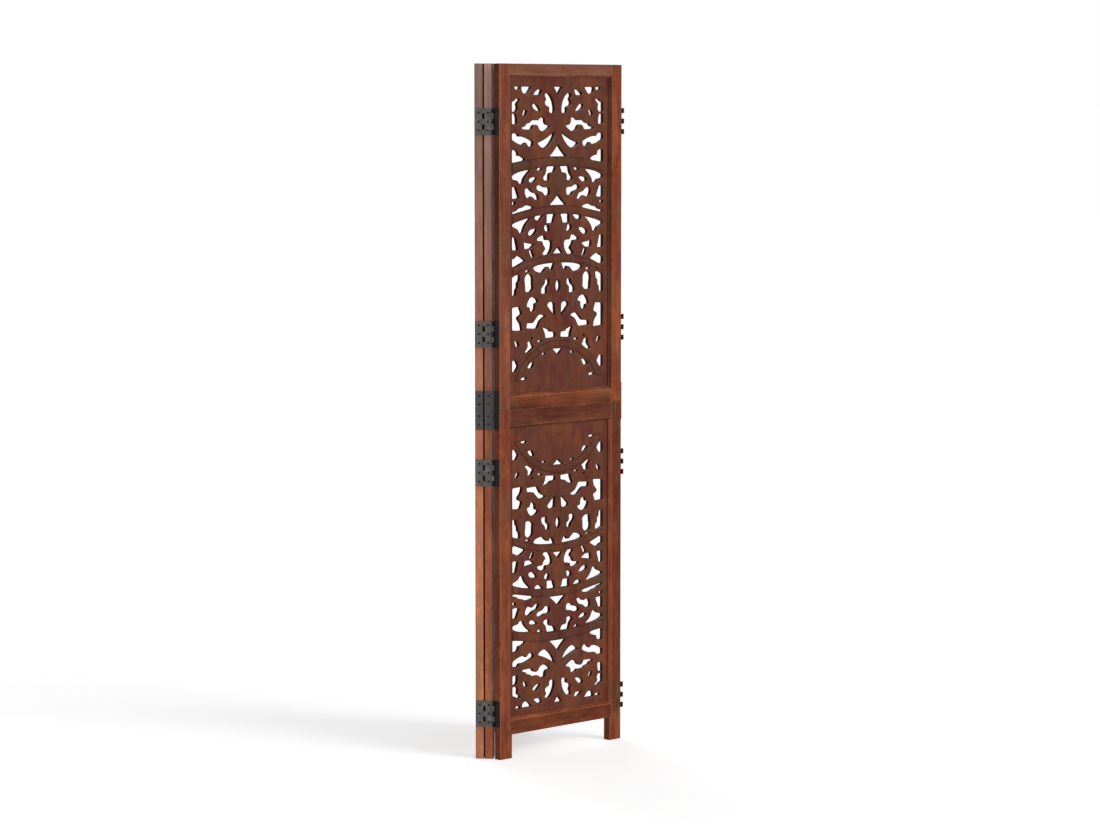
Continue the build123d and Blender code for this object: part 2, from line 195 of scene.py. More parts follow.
def looked_at(tree, low, high):
    """A socket: high where the camera, a reflection or clear glass looks, and low for plain light."""
    rays = node(tree, "ShaderNodeLightPath")
    seen = rays.outputs["Is Camera Ray"]
    for kind in ("Is Glossy Ray", "Is Transmission Ray"):
        seen = calculated(tree, "ADD", seen, rays.outputs[kind], clamp=True)
    strength = node(tree, "ShaderNodeMapRange")
    put(tree, strength, {"Value": seen, "To Min": low, "To Max": high})
    return strength.outputs["Result"]


bpy.context.scene.view_settings.view_transform = "Standard"
world = bpy.data.worlds.new("studio")
bpy.context.scene.world = world
world.use_nodes = True
sky = world.node_tree
put(sky, sky.nodes["Background"], {"Color": WHITE, "Strength": looked_at(sky, WORLD_FILL, WORLD_SEEN)})
print("world: lights with", WORLD_FILL, "and is seen at", WORLD_SEEN)

# %% [markdown]
# ## Lamps and floor
#
# A plain studio. The main light comes from the front, a little to the right and above, and is as
# soft as a large window. An area lamp would do, but its light falls off over the floor. A sun
# lamp with a wide angle is as soft and lights the floor evenly as far as the camera sees. The
# faces that look left get only the pale world's light and a weak lamp near the camera, and that
# gives the pierced boards their depth.
#
# The floor glows a little where it's looked at, so that it meets the white background without a
# line and still keeps a soft shadow.

# %% Lamps
LAMPS = (  # name, direction to the lamp, level, spread in degrees
    ("key", (0.32, -0.93, 0.46), 0.58, 36.0),
    ("near_camera", (-0.56, -0.80, 0.12), 0.17, 50.0),
    ("behind", (0.30, 0.85, 0.60), 0.22, 40.0),
)
for name, direction, level, spread in LAMPS:
    sun = bpy.data.lights.new(name, "SUN")
    sun.energy = level * math.pi  # level 1 lights a facing white surface to white
    sun.angle = math.radians(spread)
    placed(name, sun).rotation_euler = Vector(direction).to_track_quat("Z", "Y").to_euler()
print("lamps:", [name for name, *_ in LAMPS])

# %% Floor
FLOOR_HALF = 30.0
FLOOR_GLOW = 0.50
FLOOR_GREY = (0.80, 0.80, 0.80, 1.0)
FLOOR_ROUGHNESS, FLOOR_SHINE = 0.9, 0.1


def new_material(name):
    """A material with one Principled BSDF; returns it, its node tree and that shader."""
    material = bpy.data.materials.new(name)
    material.use_nodes = True
    return material, material.node_tree, material.node_tree.nodes["Principled BSDF"]


floor_mesh = bpy.data.meshes.new("floor")
floor_corners = [(x * FLOOR_HALF, y * FLOOR_HALF, 0.0) for x, y in ((-1, -1), (1, -1), (1, 1), (-1, 1))]
floor_mesh.from_pydata(floor_corners, [], [(0, 1, 2, 3)])
floor = placed("floor", floor_mesh)
floor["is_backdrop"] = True
floor_material, floor_tree, floor_paint = new_material("pale floor")
put(floor_tree, floor_paint, {
    "Base Color": FLOOR_GREY, "Roughness": FLOOR_ROUGHNESS, "Specular IOR Level": FLOOR_SHINE,
    "Emission Color": WHITE, "Emission Strength": looked_at(floor_tree, 0.0, FLOOR_GLOW)})
floor_mesh.materials.append(floor_material)
print("floor:", 2 * FLOOR_HALF, "m wide")

# %% [markdown]
# ## Wood, as a node group
#
# The frames and the boards are the same stained hardwood, lacquered to a half gloss, only the
# boards were stained darker. Both need the same effect: long streaks along the grain, broad
# patches where the stain took differently (orange, wine red and olive brown), and short open
# pores. An effect that two materials share is best made once, as a node group with named
# sockets, and placed in each material with its own values.
#
# The grain has to follow each stick of wood, also where a panel is turned. So each mesh carries
# an attribute called "grain": distance along the stick, across it and into it, in metres. Three
# more are single numbers. "stick" differs for each piece of wood and shifts the pattern, so that
# no two sticks repeat. "tone" makes the wood lighter or darker, and the third, "faded", mixes in
# the greyish brown of wood that has lost its stain; on the folded pair's edges it also stands for
# a painted reflection.

# %% Group helpers
FLOAT, COLOR, VECTOR = "NodeSocketFloat", "NodeSocketColor", "NodeSocketVector"


def group_with(name, inputs, outputs):
    """A shader node group; returns its tree, what it is given (by name) and its output node."""
    group = bpy.data.node_groups.new(name, "ShaderNodeTree")
    for label, kind, default in inputs:
        socket = group.interface.new_socket(label, in_out="INPUT", socket_type=kind)
        socket.default_value = default
    for label, kind in outputs:
        group.interface.new_socket(label, in_out="OUTPUT", socket_type=kind)
    return group, node(group, "NodeGroupInput").outputs, node(group, "NodeGroupOutput")


def mixed(tree, factor, first, second, blend="MIX"):
    """A colour mix; returns its colour socket."""
    mix = node(tree, "ShaderNodeMix", data_type="RGBA", blend_type=blend)
    put(tree, mix, {"Factor": factor, 6: first, 7: second})
    return mix.outputs[2]


def multiplied(tree, *sources):
    """The product of two or more values."""
    product = sources[0]
    for source in sources[1:]:
        product = calculated(tree, "MULTIPLY", product, source)
    return product


def ranged(tree, value, low, high, to_low=0.0, to_high=1.0):
    """A smooth map range; returns its value socket."""
    step = node(tree, "ShaderNodeMapRange", interpolation_type="SMOOTHSTEP")
    put(tree, step, {"Value": value, "From Min": low, "From Max": high, "To Min": to_low, "To Max": to_high})
    return step.outputs["Result"]


def noise(tree, vector, scale, detail=2.0, rough=0.5, distortion=0.0):
    """A noise texture; returns its value socket."""
    texture = node(tree, "ShaderNodeTexNoise")
    put(tree, texture, {"Vector": vector, "Scale": scale, "Detail": detail, "Roughness": rough,
                        "Distortion": distortion})
    return texture.outputs["Fac"]


def long_noise(tree, vector, stretch, *look):
    """Noise with the vector scaled on each axis: a small factor makes long shapes along that axis."""
    scaled = node(tree, "ShaderNodeVectorMath", operation="MULTIPLY")
    put(tree, scaled, {0: vector, 1: stretch})
    return noise(tree, scaled.outputs[0], *look)


print("socket kinds:", FLOAT, COLOR, VECTOR)

# %% The wood group
STICK_SHIFT = (13.7, 7.9, 3.1)
PATCHES = (  # stain, stretch, scale, where the noise starts and ends to show it, strength
    ("Orange", (0.45, 1.0, 1.0), 11.0, 0.49, 0.64, 0.66),
    ("Wine", (0.50, 1.1, 0.9), 15.0, 0.52, 0.66, 0.62),
    ("Olive", (0.35, 0.9, 1.2), 19.0, 0.55, 0.69, 0.62),
    ("Orange", (0.7, 1.0, 1.0), 55.0, 0.52, 0.70, 0.45),
    ("Wine", (0.8, 1.0, 1.0), 47.0, 0.54, 0.72, 0.55),
)
FADED_WOOD = (0.200, 0.122, 0.100, 1.0)
# Growth bands that wander, fine streaks, pores: stretch, scale, detail, roughness, distortion.
BANDS = ((1.0, 14.0, 9.0), 5.0, 3.0, 0.6, 0.8)
STREAKS = ((1.0, 26.0, 18.0), 16.0, 4.0, 0.65)
PORES = ((1.0, 11.0, 9.0), 110.0, 1.0)
BAND_SHADES = (0.30, 0.72, 0.74, 1.22)  # noise from, noise to, darkest, lightest
STREAK_SHADES = (0.30, 0.70, 0.84, 1.14)
PORE_LIMITS, PORE_SHADE = (0.60, 0.72), 0.72
STREAK_HEIGHT = 0.5
GLOSS_NOISE = (24.0, 3.0)  # scale, detail


def stained_wood():
    """The group: patches of stain, then bands, streaks and pores that lighten and darken them."""
    tree, given, result = group_with(
        "stained wood",
        [("Grain", VECTOR, (0, 0, 0)), ("Stick", FLOAT, 0.0), ("Tone", FLOAT, 0.0), ("Faded and sheen", FLOAT, 0.0),
         ("Brown", COLOR, (0.2, 0.07, 0.04, 1)), ("Orange", COLOR, (0.4, 0.14, 0.05, 1)),
         ("Wine", COLOR, (0.2, 0.03, 0.02, 1)), ("Olive", COLOR, (0.15, 0.08, 0.03, 1)),
         ("Patches", FLOAT, 1.0), ("Figure", FLOAT, 1.0)],
        [("Color", COLOR), ("Height", FLOAT), ("Gloss", FLOAT)])
    shift = node(tree, "ShaderNodeVectorMath", operation="SCALE")
    put(tree, shift, {0: STICK_SHIFT, "Scale": given["Stick"]})
    shifted = node(tree, "ShaderNodeVectorMath", operation="ADD")
    put(tree, shifted, {0: given["Grain"], 1: shift.outputs[0]})
    grain = shifted.outputs[0]

    color = given["Brown"]
    for label, stretch, scale, low, high, strength in PATCHES:
        patch = ranged(tree, long_noise(tree, grain, stretch, scale), low, high)
        color = mixed(tree, multiplied(tree, patch, strength, given["Patches"]), color, given[label])
    color = mixed(tree, given["Faded and sheen"], color, FADED_WOOD)

    streaks = long_noise(tree, grain, *STREAKS)
    pores = ranged(tree, long_noise(tree, grain, *PORES), *PORE_LIMITS)
    shade = multiplied(tree, ranged(tree, long_noise(tree, grain, *BANDS), *BAND_SHADES),
                       ranged(tree, streaks, *STREAK_SHADES), ranged(tree, pores, 0.0, 1.0, 1.0, PORE_SHADE))
    figure = multiplied(tree, calculated(tree, "SUBTRACT", shade, 1.0), given["Figure"])
    toned = calculated(tree, "ADD", given["Tone"], 1.0)
    shade = multiplied(tree, calculated(tree, "ADD", figure, 1.0), toned)
    grey = node(tree, "ShaderNodeCombineColor")
    put(tree, grey, {"Red": shade, "Green": shade, "Blue": shade})
    put(tree, result, {
        "Color": mixed(tree, 1.0, color, grey.outputs[0], "MULTIPLY"),
        "Height": calculated(tree, "SUBTRACT", multiplied(tree, streaks, STREAK_HEIGHT), pores),
        "Gloss": noise(tree, grain, *GLOSS_NOISE)})
    return tree


wood_group = stained_wood()
print("wood group:", len(wood_group.nodes), "nodes")

# %% [markdown]
# ## Rubbed edges, as a second group
#
# Lacquer wears thin on the arrises and where sticks meet: a pale, broken line. It could be found
# in the material with a bevel or pointiness node, but those are slow or depend on how fine the
# mesh is. Here each mesh marks its softened edges with an attribute, "worn", that is 1 on the
# edge and 0 beside it. The group breaks that up with noise, and adds a few hair scratches and
# wider smears along the grain.

# %% The wear group
# Broken edges, hair scratches and smears: stretch, scale, detail, roughness, distortion.
EDGE_BREAKS = ((1.0, 3.0, 3.0), 38.0, 4.0, 0.62)
HAIRS = ((1.0, 30.0, 30.0), 21.0, 1.0, 0.5, 1.6)
SMEARS = ((1.0, 6.0, 6.0), 12.0, 3.0, 0.6, 0.4)
BREAK_START, BREAK_WIDTH = 0.62, 0.16
EDGE_LIMITS = (0.30, 0.85)
HAIR_LIMITS = (0.735, 0.765)
HAIR_PLACES, HAIR_PLACE_LIMITS = (9.0, 1.0), (0.50, 0.62)  # scratches come in places, not all over
SMEAR_LIMITS, SMEAR_STRENGTH = (0.60, 0.74), 0.5


def rubbed_edges():
    """The group: a mask that is 1 where the lacquer is gone."""
    tree, given, result = group_with(
        "rubbed edges",
        [("Grain", VECTOR, (0, 0, 0)), ("Worn", FLOAT, 0.0), ("Amount", FLOAT, 0.5),
         ("Scratches", FLOAT, 0.2)],
        [("Mask", FLOAT)])
    grain, scratches = given["Grain"], given["Scratches"]
    start = multiplied(tree, calculated(tree, "SUBTRACT", 1.0, given["Amount"]), BREAK_START)
    broken = ranged(tree, long_noise(tree, grain, *EDGE_BREAKS), start,
                    calculated(tree, "ADD", start, BREAK_WIDTH))
    edge = multiplied(tree, broken, ranged(tree, given["Worn"], *EDGE_LIMITS))
    here = ranged(tree, noise(tree, grain, *HAIR_PLACES), *HAIR_PLACE_LIMITS)
    hair = multiplied(tree, ranged(tree, long_noise(tree, grain, *HAIRS), *HAIR_LIMITS), here, scratches)
    smear = ranged(tree, long_noise(tree, grain, *SMEARS), *SMEAR_LIMITS)
    marks = calculated(tree, "MAXIMUM", hair, multiplied(tree, smear, scratches, SMEAR_STRENGTH))
    put(tree, result, {"Mask": calculated(tree, "MAXIMUM", edge, marks)})
    return tree


wear_group = rubbed_edges()
print("wear group:", len(wear_group.nodes), "nodes")

# %% [markdown]
# ## Lacquered wood
#
# The wood under the lacquer has no shine of its own. The lacquer is a thin clear coat over it, so
# it's made with the shader's Coat and not by making the wood glossy: the colour stays deep, and
# where the lacquer is rubbed off, the coat goes and dull bare wood shows. The coat is thin and
# uneven, as on furniture that was wiped by hand.

# %% Wood materials
BARE_WOOD = (0.42, 0.25, 0.15, 1.0)
GLOSS_LIMITS = (0.30, 0.70)
SMOOTHER, ROUGHER, BARE_ROUGHER = 0.05, 0.09, 0.25  # changes to a wood's own roughness
COAT_LEAST, COAT_MOST, COAT_ROUGHNESS = 0.10, 0.24, 0.30
GRAIN_BUMP = (0.35, 0.6 * MM)  # strength and distance


def attribute(tree, name, output="Fac"):
    return node(tree, "ShaderNodeAttribute", attribute_name=name).outputs[output]


def bumped(tree, shader, height, strength, distance):
    """A fine relief, from a height to the shader's normal."""
    bump = node(tree, "ShaderNodeBump")
    put(tree, bump, {"Height": height, "Strength": strength, "Distance": distance})
    put(tree, shader, {"Normal": bump.outputs["Normal"]})


def wood_material(name, stains, patches, figure, wear, scratches, rough):
    """A lacquered wood: the two groups feed one Principled BSDF."""
    material, tree, shader = new_material(name)
    grain = attribute(tree, "grain", "Vector")
    wood = node(tree, "ShaderNodeGroup", node_tree=wood_group)
    put(tree, wood, {"Grain": grain, "Stick": attribute(tree, "stick"), "Tone": attribute(tree, "tone"),
                     "Faded and sheen": attribute(tree, "faded"), "Patches": patches, "Figure": figure, **stains})
    rubbed = node(tree, "ShaderNodeGroup", node_tree=wear_group)
    put(tree, rubbed, {"Grain": grain, "Worn": attribute(tree, "worn"), "Amount": wear,
                       "Scratches": scratches})
    mask, gloss = rubbed.outputs["Mask"], wood.outputs["Gloss"]
    roughness = ranged(tree, gloss, *GLOSS_LIMITS, rough - SMOOTHER, rough + ROUGHER)
    coat = ranged(tree, gloss, *GLOSS_LIMITS, COAT_MOST, COAT_LEAST)
    put(tree, shader, {
        "Base Color": mixed(tree, mask, wood.outputs["Color"], BARE_WOOD),
        "Roughness": calculated(tree, "ADD", roughness, multiplied(tree, mask, BARE_ROUGHER)),
        "Specular IOR Level": 0.0,
        "Coat Weight": multiplied(tree, coat, calculated(tree, "SUBTRACT", 1.0, mask)),
        "Coat Roughness": COAT_ROUGHNESS})
    bumped(tree, shader, wood.outputs["Height"], *GRAIN_BUMP)
    return material


frame_stains = {"Brown": (0.200, 0.048, 0.020, 1), "Orange": (0.34, 0.090, 0.030, 1),
                "Wine": (0.150, 0.020, 0.013, 1), "Olive": (0.135, 0.064, 0.026, 1)}
board_stains = {"Brown": (0.132, 0.042, 0.023, 1), "Orange": (0.205, 0.059, 0.024, 1),
                "Wine": (0.108, 0.021, 0.020, 1), "Olive": (0.100, 0.050, 0.024, 1)}
frame_wood = wood_material(
    "frame wood", frame_stains, patches=0.85, figure=0.80, wear=0.50, scratches=0.40, rough=0.38)
board_wood = wood_material(
    "board wood", board_stains, patches=0.95, figure=0.40, wear=0.16, scratches=0.14, rough=0.44)
print("wood:", frame_wood.name, "and", board_wood.name)

# %% [markdown]
# ## Sticks with softened edges
#
# A stile or a rail is one section run along a line. A real edge is never quite sharp: a hand
# plane or sandpaper takes it off, and the highlight there is what makes the stick look solid. A
# bevel modifier could soften a box, but it doesn't know which edges are worn.
#
# So each section is drawn as a few corners, and each corner is rounded with a middle point that
# is marked as worn. The stick is a loft: rings of the same section one after another, joined
# with faces. The ring at each end is drawn in a little, which softens the ends as well.

# %% Section tools
SOFT = 0.6 * MM
ARC_MIDDLE = 0.293  # a rounded corner's middle point, as a share of both cuts
LONGEST_CUT = 0.4  # a rounding takes at most this share of a side
SHARPEST = 0.3  # keeps a very sharp corner from running away when it's drawn in


def rounded(corners):
    """Round each (x, y, radius) corner to three points; returns points and their worn marks."""
    points, marks = [], []
    for index, (x, y, radius) in enumerate(corners):
        here = Vector((x, y))
        before = Vector(corners[index - 1][:2]) - here
        after = Vector(corners[(index + 1) % len(corners)][:2]) - here
        cut = min(radius, before.length * LONGEST_CUT, after.length * LONGEST_CUT)
        start = before.normalized() * cut
        end = after.normalized() * cut
        points += [here + start, here + (start + end) * ARC_MIDDLE, here + end]
        marks += [0.0, 1.0, 0.0]
    return points, marks


def drawn_in(corners, distance):
    """The same anticlockwise corners, moved towards the inside of the section."""
    moved = []
    for index, (x, y, radius) in enumerate(corners):
        here = Vector((x, y))
        before = (here - Vector(corners[index - 1][:2])).normalized()
        after = (Vector(corners[(index + 1) % len(corners)][:2]) - here).normalized()
        inward = Vector((-before.y - after.y, before.x + after.x))
        scale = distance / max(SHARPEST, 0.5 * inward.length_squared)
        moved.append((x + inward.x * scale, y + inward.y * scale, radius))
    return moved


def end_steps(first, last):
    """Softened ends: (distance along, drawn in by, worn) at the start and at the end of a stick."""
    soft = [(0.0, SOFT, 0.0), (SOFT * ARC_MIDDLE, SOFT * ARC_MIDDLE, 1.0), (SOFT, 0.0, 0.0)]
    start = [(first + along, inset, worn) for along, inset, worn in soft]
    end = [(last - along, inset, worn) for along, inset, worn in reversed(soft)]
    return start, end


print("edges softened by", round(SOFT / MM, 2), "mm")

# %% Loft
ONE_PLACE = 0.001 * MM  # points closer than this are merged
STICK_SHARP = 50


def set_attributes(mesh, grain, **values):
    """Store what the wood materials read at each point."""
    mesh.attributes.new("grain", "FLOAT_VECTOR", "POINT").data.foreach_set("vector", np.ravel(grain))
    for name, numbers in values.items():
        mesh.attributes.new(name, "FLOAT", "POINT").data.foreach_set("value", np.ravel(numbers))


def smooth_by_angle(mesh, degrees):
    """Smooth shading, with edges sharper than the angle kept crisp."""
    mesh.polygons.foreach_set("use_smooth", [True] * len(mesh.polygons))
    mesh.set_sharp_from_angle(angle=math.radians(degrees))


def loft(name, rings, marks, grain_axes, caps):
    """A closed mesh through rings of points. caps lists the faces that close each end ring."""
    size = len(rings[0])
    points = [point for ring in rings for point in ring]
    faces = []
    for level in range(len(rings) - 1):
        low, high = level * size, (level + 1) * size
        for index in range(size):
            after = (index + 1) % size
            faces.append((low + index, low + after, high + after, high + index))
    for cap in caps:
        faces.append(list(reversed(cap)))
        faces.append([(len(rings) - 1) * size + index for index in cap])
    mesh = bpy.data.meshes.new(name)
    mesh.from_pydata(points, [], faces)
    plain = np.zeros(len(points))
    set_attributes(mesh, np.array(points)[:, grain_axes], worn=np.array(marks), tone=plain, faded=plain)
    shape = bmesh.new()
    shape.from_mesh(mesh)
    bmesh.ops.remove_doubles(shape, verts=shape.verts, dist=ONE_PLACE)
    shape.to_mesh(mesh)
    shape.free()
    smooth_by_angle(mesh, STICK_SHARP)
    return mesh


wood_meshes = {}
print("sticks stay crisp at edges over", STICK_SHARP, "degrees")

# %% [markdown]
# ## The stiles
#
# The section of a stile: rounded outer edges, a 45 degree bevel on the inner front edge, then a
# short wall down to the carved board, and the groove that holds the board. Below the bottom rail
# the stile runs on as a plain square leg. The same nine corners draw all of it: where there is no
# bevel or groove, they are closed up until they are too small to see.
#
# A stile has a few rings more than its shape needs: just above the foot, at the joint between the
# halves, and at the ends of the hinge leaves. The stain is stored at the points, so it can only
# change where there are points.

# %% Stile values
BEVEL = 6.0 * MM
BOARD_THICKNESS = 10.0 * MM
TONGUE_THICKNESS = 7.0 * MM
OUTER_ROUND = 1.5 * MM
GROOVE_GAP = 0.5 * MM
SHUT = 0.02 * MM  # a groove or a corner that is closed up
EASED = 0.7 * MM
GRIMY = 5.0 * MM
JOINT = 1.8 * MM
LEAF_MARGIN = 0.4 * MM
leg_top, bottom_rail_top = [corner.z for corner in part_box("front_bottom_rail")]
lower_board = [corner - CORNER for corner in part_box("front_lower_jali_board")]
upper_board = [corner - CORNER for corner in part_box("front_upper_jali_board")]
GROOVE = bottom_rail_top - lower_board[0].z + GROOVE_GAP
BOARD_BACK = lower_board[1].y
BOARD_FACE = BOARD_BACK - BOARD_THICKNESS
TONGUE_BACK = BOARD_FACE + TONGUE_THICKNESS


def find_leaf_spans():
    """(foot, head) of each hinge leaf on an edge, read from the engineer's leaves."""
    heights = sorted(vertex.co.z for vertex in nodes["front_left_hinge_leaves"].data.vertices)
    breaks = [i for i in range(1, len(heights)) if heights[i] - heights[i - 1] > 2 * STILE]
    starts, ends = [0] + breaks, breaks + [len(heights)]
    return [(heights[start], heights[end - 1]) for start, end in zip(starts, ends)]


leaf_spans = find_leaf_spans()
print("board face at", round(BOARD_FACE / MM, 2), "mm, groove", round(GROOVE / MM, 2), "mm deep")
print("hinge leaves at", [(round(foot, 3), round(head, 3)) for foot, head in leaf_spans])

# %% Stile mesh


def stile_section(on_left, bevel, groove):
    """Anticlockwise corners (x, y, radius) of a stile on the left or right of a panel."""
    corners = [
        (0.0, 0.0, OUTER_ROUND), (STILE - bevel, 0.0, SOFT), (STILE, bevel, SOFT),
        (STILE, BOARD_FACE, SHUT), (STILE - groove, BOARD_FACE, SHUT),
        (STILE - groove, TONGUE_BACK, SHUT), (STILE, TONGUE_BACK, SHUT),
        (STILE, THICKNESS, SOFT), (0.0, THICKNESS, OUTER_ROUND),
    ]
    return corners if on_left else [(WIDTH - x, y, radius) for x, y, radius in reversed(corners)]


def stile_mesh(name, on_left, levels):
    """levels lists (z, bevel, groove) from the foot to the head."""
    start, end = end_steps(levels[0][0], levels[-1][0])
    steps = [(z, inset, worn, levels[0][1:]) for z, inset, worn in start]
    steps += [(z, 0.0, 0.0, shape) for z, *shape in levels[1:-1]]
    steps += [(z, inset, worn, levels[-1][1:]) for z, inset, worn in end]
    rings, marks = [], []
    for z, inset, end_worn, (bevel, groove) in steps:
        points, worn = rounded(drawn_in(stile_section(on_left, bevel, groove), inset))
        rings.append([(point.x, point.y, z) for point in points])
        marks.append([max(mark, end_worn) for mark in worn])
    return loft(name, rings, marks, [2, 0, 1], [list(range(len(rings[0])))])


def grooved(board):
    """The levels where the groove for a board opens and closes."""
    low, high = board[0].z - GROOVE_GAP, board[1].z + GROOVE_GAP
    return [(low, BEVEL, SHUT), (low, BEVEL, GROOVE), (high, BEVEL, GROOVE), (high, BEVEL, SHUT)]


def with_rings(levels, heights):
    """The same levels with rings at more heights."""
    for z in heights:
        below = [level for level in levels if level[0] <= z]
        if below and len(below) < len(levels):
            levels = below + [(z, *below[-1][1:])] + levels[len(below):]
    return levels


leaf_ends = [end + margin for span in leaf_spans for end in span for margin in (-LEAF_MARGIN, LEAF_MARGIN)]
lower_levels = [(0.0, EASED, SHUT), (GRIMY, EASED, SHUT), (leg_top, EASED, SHUT), (leg_top, BEVEL, SHUT)]
lower_levels += grooved(lower_board) + [(SEAM, BEVEL, SHUT)]
upper_levels = [(SEAM, BEVEL, SHUT), (SEAM + JOINT, BEVEL, SHUT)]
upper_levels += grooved(upper_board) + [(HEIGHT, BEVEL, SHUT)]
for half, levels in (("lower", lower_levels), ("upper", upper_levels)):
    for side in ("left", "right"):
        name = f"{half}_{side}_stile"
        wood_meshes[name] = stile_mesh(name, side == "left", with_rings(levels, leaf_ends))
        print(name, len(wood_meshes[name].vertices), "points")

# %% [markdown]
# ## The rails
#
# A rail has the same section, lying down. Its ends are scribed: cut to the shape of the stile's
# bevel, so that the rail laps over it and the two bevels meet in a mitre at the corner. That
# only changes where each point of the section ends along the rail, so a rail is the same loft
# with slanted end rings. The tenons are inside the stiles and aren't drawn.

# %% Rail mesh
RAILS = {"bottom_rail": True, "lower_middle_rail": False, "upper_middle_rail": True, "top_rail": False}


def rail_section(low, high, bevel_on_top):
    """Anticlockwise corners (y, z, radius) of a rail, seen from its right end."""
    edge, plain, into = (high, low, -1.0) if bevel_on_top else (low, high, 1.0)
    corners = [
        (0.0, plain, SOFT), (BEVEL, plain, SHUT), (THICKNESS, plain, SOFT), (THICKNESS, edge, SOFT),
        (TONGUE_BACK, edge, SHUT), (TONGUE_BACK, edge + into * GROOVE, SHUT),
        (BOARD_FACE, edge + into * GROOVE, SHUT), (BOARD_FACE, edge, SHUT),
        (BEVEL, edge, SOFT), (0.0, edge + into * BEVEL, SOFT),
    ]
    return corners if bevel_on_top else list(reversed(corners))


def rail_mesh(name, low, high, bevel_on_top):
    corners = rail_section(low, high, bevel_on_top)
    start, end = end_steps(0.0, 0.0)
    rings, marks = [], []
    for steps, mirrored in ((start, False), (end, True)):
        for along, inset, end_worn in steps:
            points, worn = rounded(drawn_in(corners, inset))
            ends = [STILE - BEVEL + min(point.x, BEVEL) + abs(along) for point in points]
            if mirrored:
                ends = [WIDTH - x for x in ends]
            rings.append([(x, point.x, point.y) for x, point in zip(ends, points)])
            marks.append([max(mark, end_worn) for mark in worn])
    # The end slants as deep as the bevel and is square behind it, so it's closed with two faces.
    folds = [3 * index + 1 for index, corner in enumerate(corners) if corner[0] == BEVEL]
    ring = list(range(len(rings[0])))
    between = ring[folds[0]:folds[1] + 1]
    around = ring[folds[1]:] + ring[:folds[0] + 1]
    return loft(name, rings, marks, [0, 2, 1], [between, around])


for rail, bevel_on_top in RAILS.items():
    low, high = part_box("front_" + rail)
    wood_meshes[rail] = rail_mesh(rail, low.z, high.z, bevel_on_top)
    print(rail, round(low.z, 3), "to", round(high.z, 3))

# %% [markdown]
# ## Reading the carving
#
# The outlines of the openings are already in the engineer's model, so they aren't drawn again.
# The back of a board is one flat face with a hole for each opening. Its triangles share edges
# inside the face, so an edge that belongs to only one triangle is on an outline. Following those
# edges from point to point gives each outline as a closed loop. The plain arched bands are found
# in the same way, from the flat faces that stand nearest to the viewer.

# %% Outlines
PER_METRE = 1e6  # points are compared in whole micrometres
TOUCHING = 0.01 * MM


def flat_outlines(node_name, depth):
    """Closed outlines (x, z) of the faces of a front panel's node that lie at one depth."""
    mesh = nodes[node_name].data
    mesh.calc_loop_triangles()
    places = np.array([tuple(vertex.co - CORNER) for vertex in mesh.vertices])
    level = np.abs(places[:, 1] - depth) < TOUCHING
    keys = [tuple(key) for key in np.round(places[:, [0, 2]] * PER_METRE).astype(int).tolist()]
    edges = set()
    for triangle in mesh.loop_triangles:
        corners = list(triangle.vertices)
        if all(level[corner] for corner in corners):
            edges.update((keys[a], keys[b]) for a, b in zip(corners, corners[1:] + corners[:1]))
    following = {}
    for first, second in sorted(edges):
        if (second, first) not in edges:
            following.setdefault(first, []).append(second)
    outlines = []
    while following:
        here = next(iter(following))
        outline = []
        while here in following:
            outline.append(here)
            ways = following[here]
            after = ways.pop()
            if not ways:
                del following[here]
            here = after
        outlines.append(np.array(outline) / PER_METRE)
    return sorted(outlines, key=lambda outline: -np.ptp(outline[:, 0]) * np.ptp(outline[:, 1]))


class Board:
    """A pierced board. Each cell below adds what it has found out about it."""


boards = {}
for half in ("lower", "upper"):
    board = boards[half] = Board()
    board.low, board.high = [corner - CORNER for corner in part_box(f"front_{half}_jali_board")]
    board.rim, *board.holes = flat_outlines(f"front_{half}_jali_board", BOARD_BACK)
    board.bands = flat_outlines(f"front_{half}_jali_board", board.low.y)
    print(half, "board:", len(board.holes), "openings and", len(board.bands), "bands")

# %% Even points
OUTLINE_STEP = 2.2 * MM
OUTLINE_EASING = 2
LEAST_POINTS = 10
SIDE_PROBE = 0.3 * MM


def spaced(outline, spacing, easing=0):
    """The outline with points about one spacing apart, its corners eased a little."""
    closed = np.vstack([outline, outline[:1]])
    travelled = np.concatenate([[0.0], np.cumsum(np.linalg.norm(np.diff(closed, axis=0), axis=1))])
    count = max(LEAST_POINTS, round(travelled[-1] / spacing))
    marks = np.linspace(0.0, travelled[-1], count, endpoint=False)
    points = np.column_stack([np.interp(marks, travelled, closed[:, axis]) for axis in (0, 1)])
    for _ in range(easing):
        points = 0.5 * points + 0.25 * (np.roll(points, 1, axis=0) + np.roll(points, -1, axis=0))
    return points


def normals(points):
    """Unit normals of a closed outline, pointing to the right of its direction."""
    along = np.roll(points, -1, axis=0) - np.roll(points, 1, axis=0)
    along /= np.linalg.norm(along, axis=1)[:, None]
    return np.column_stack([along[:, 1], -along[:, 0]])


def inside(points, outlines):
    """True for points inside an odd number of outlines."""
    crossings = np.zeros(len(points), dtype=int)
    x, z = points[:, 0], points[:, 1]
    for outline in outlines:
        for (x1, z1), (x2, z2) in zip(outline, np.roll(outline, -1, axis=0)):
            if z1 != z2:
                spans = (z1 > z) != (z2 > z)
                crossings += spans & (x < (x2 - x1) * (z - z1) / (z2 - z1) + x1)
    return crossings % 2 == 1


def wood_side(opening):
    """Unit normals of an opening's outline that point into the wood."""
    away = normals(opening)
    return -away if inside(opening[:1] + away[:1] * SIDE_PROBE, [opening])[0] else away


for half, board in boards.items():
    board.openings = [spaced(hole, OUTLINE_STEP, OUTLINE_EASING) for hole in board.holes]
    board.sides = [wood_side(opening) for opening in board.openings]
    print(half, "board:", sum(len(opening) for opening in board.openings), "points round its openings")

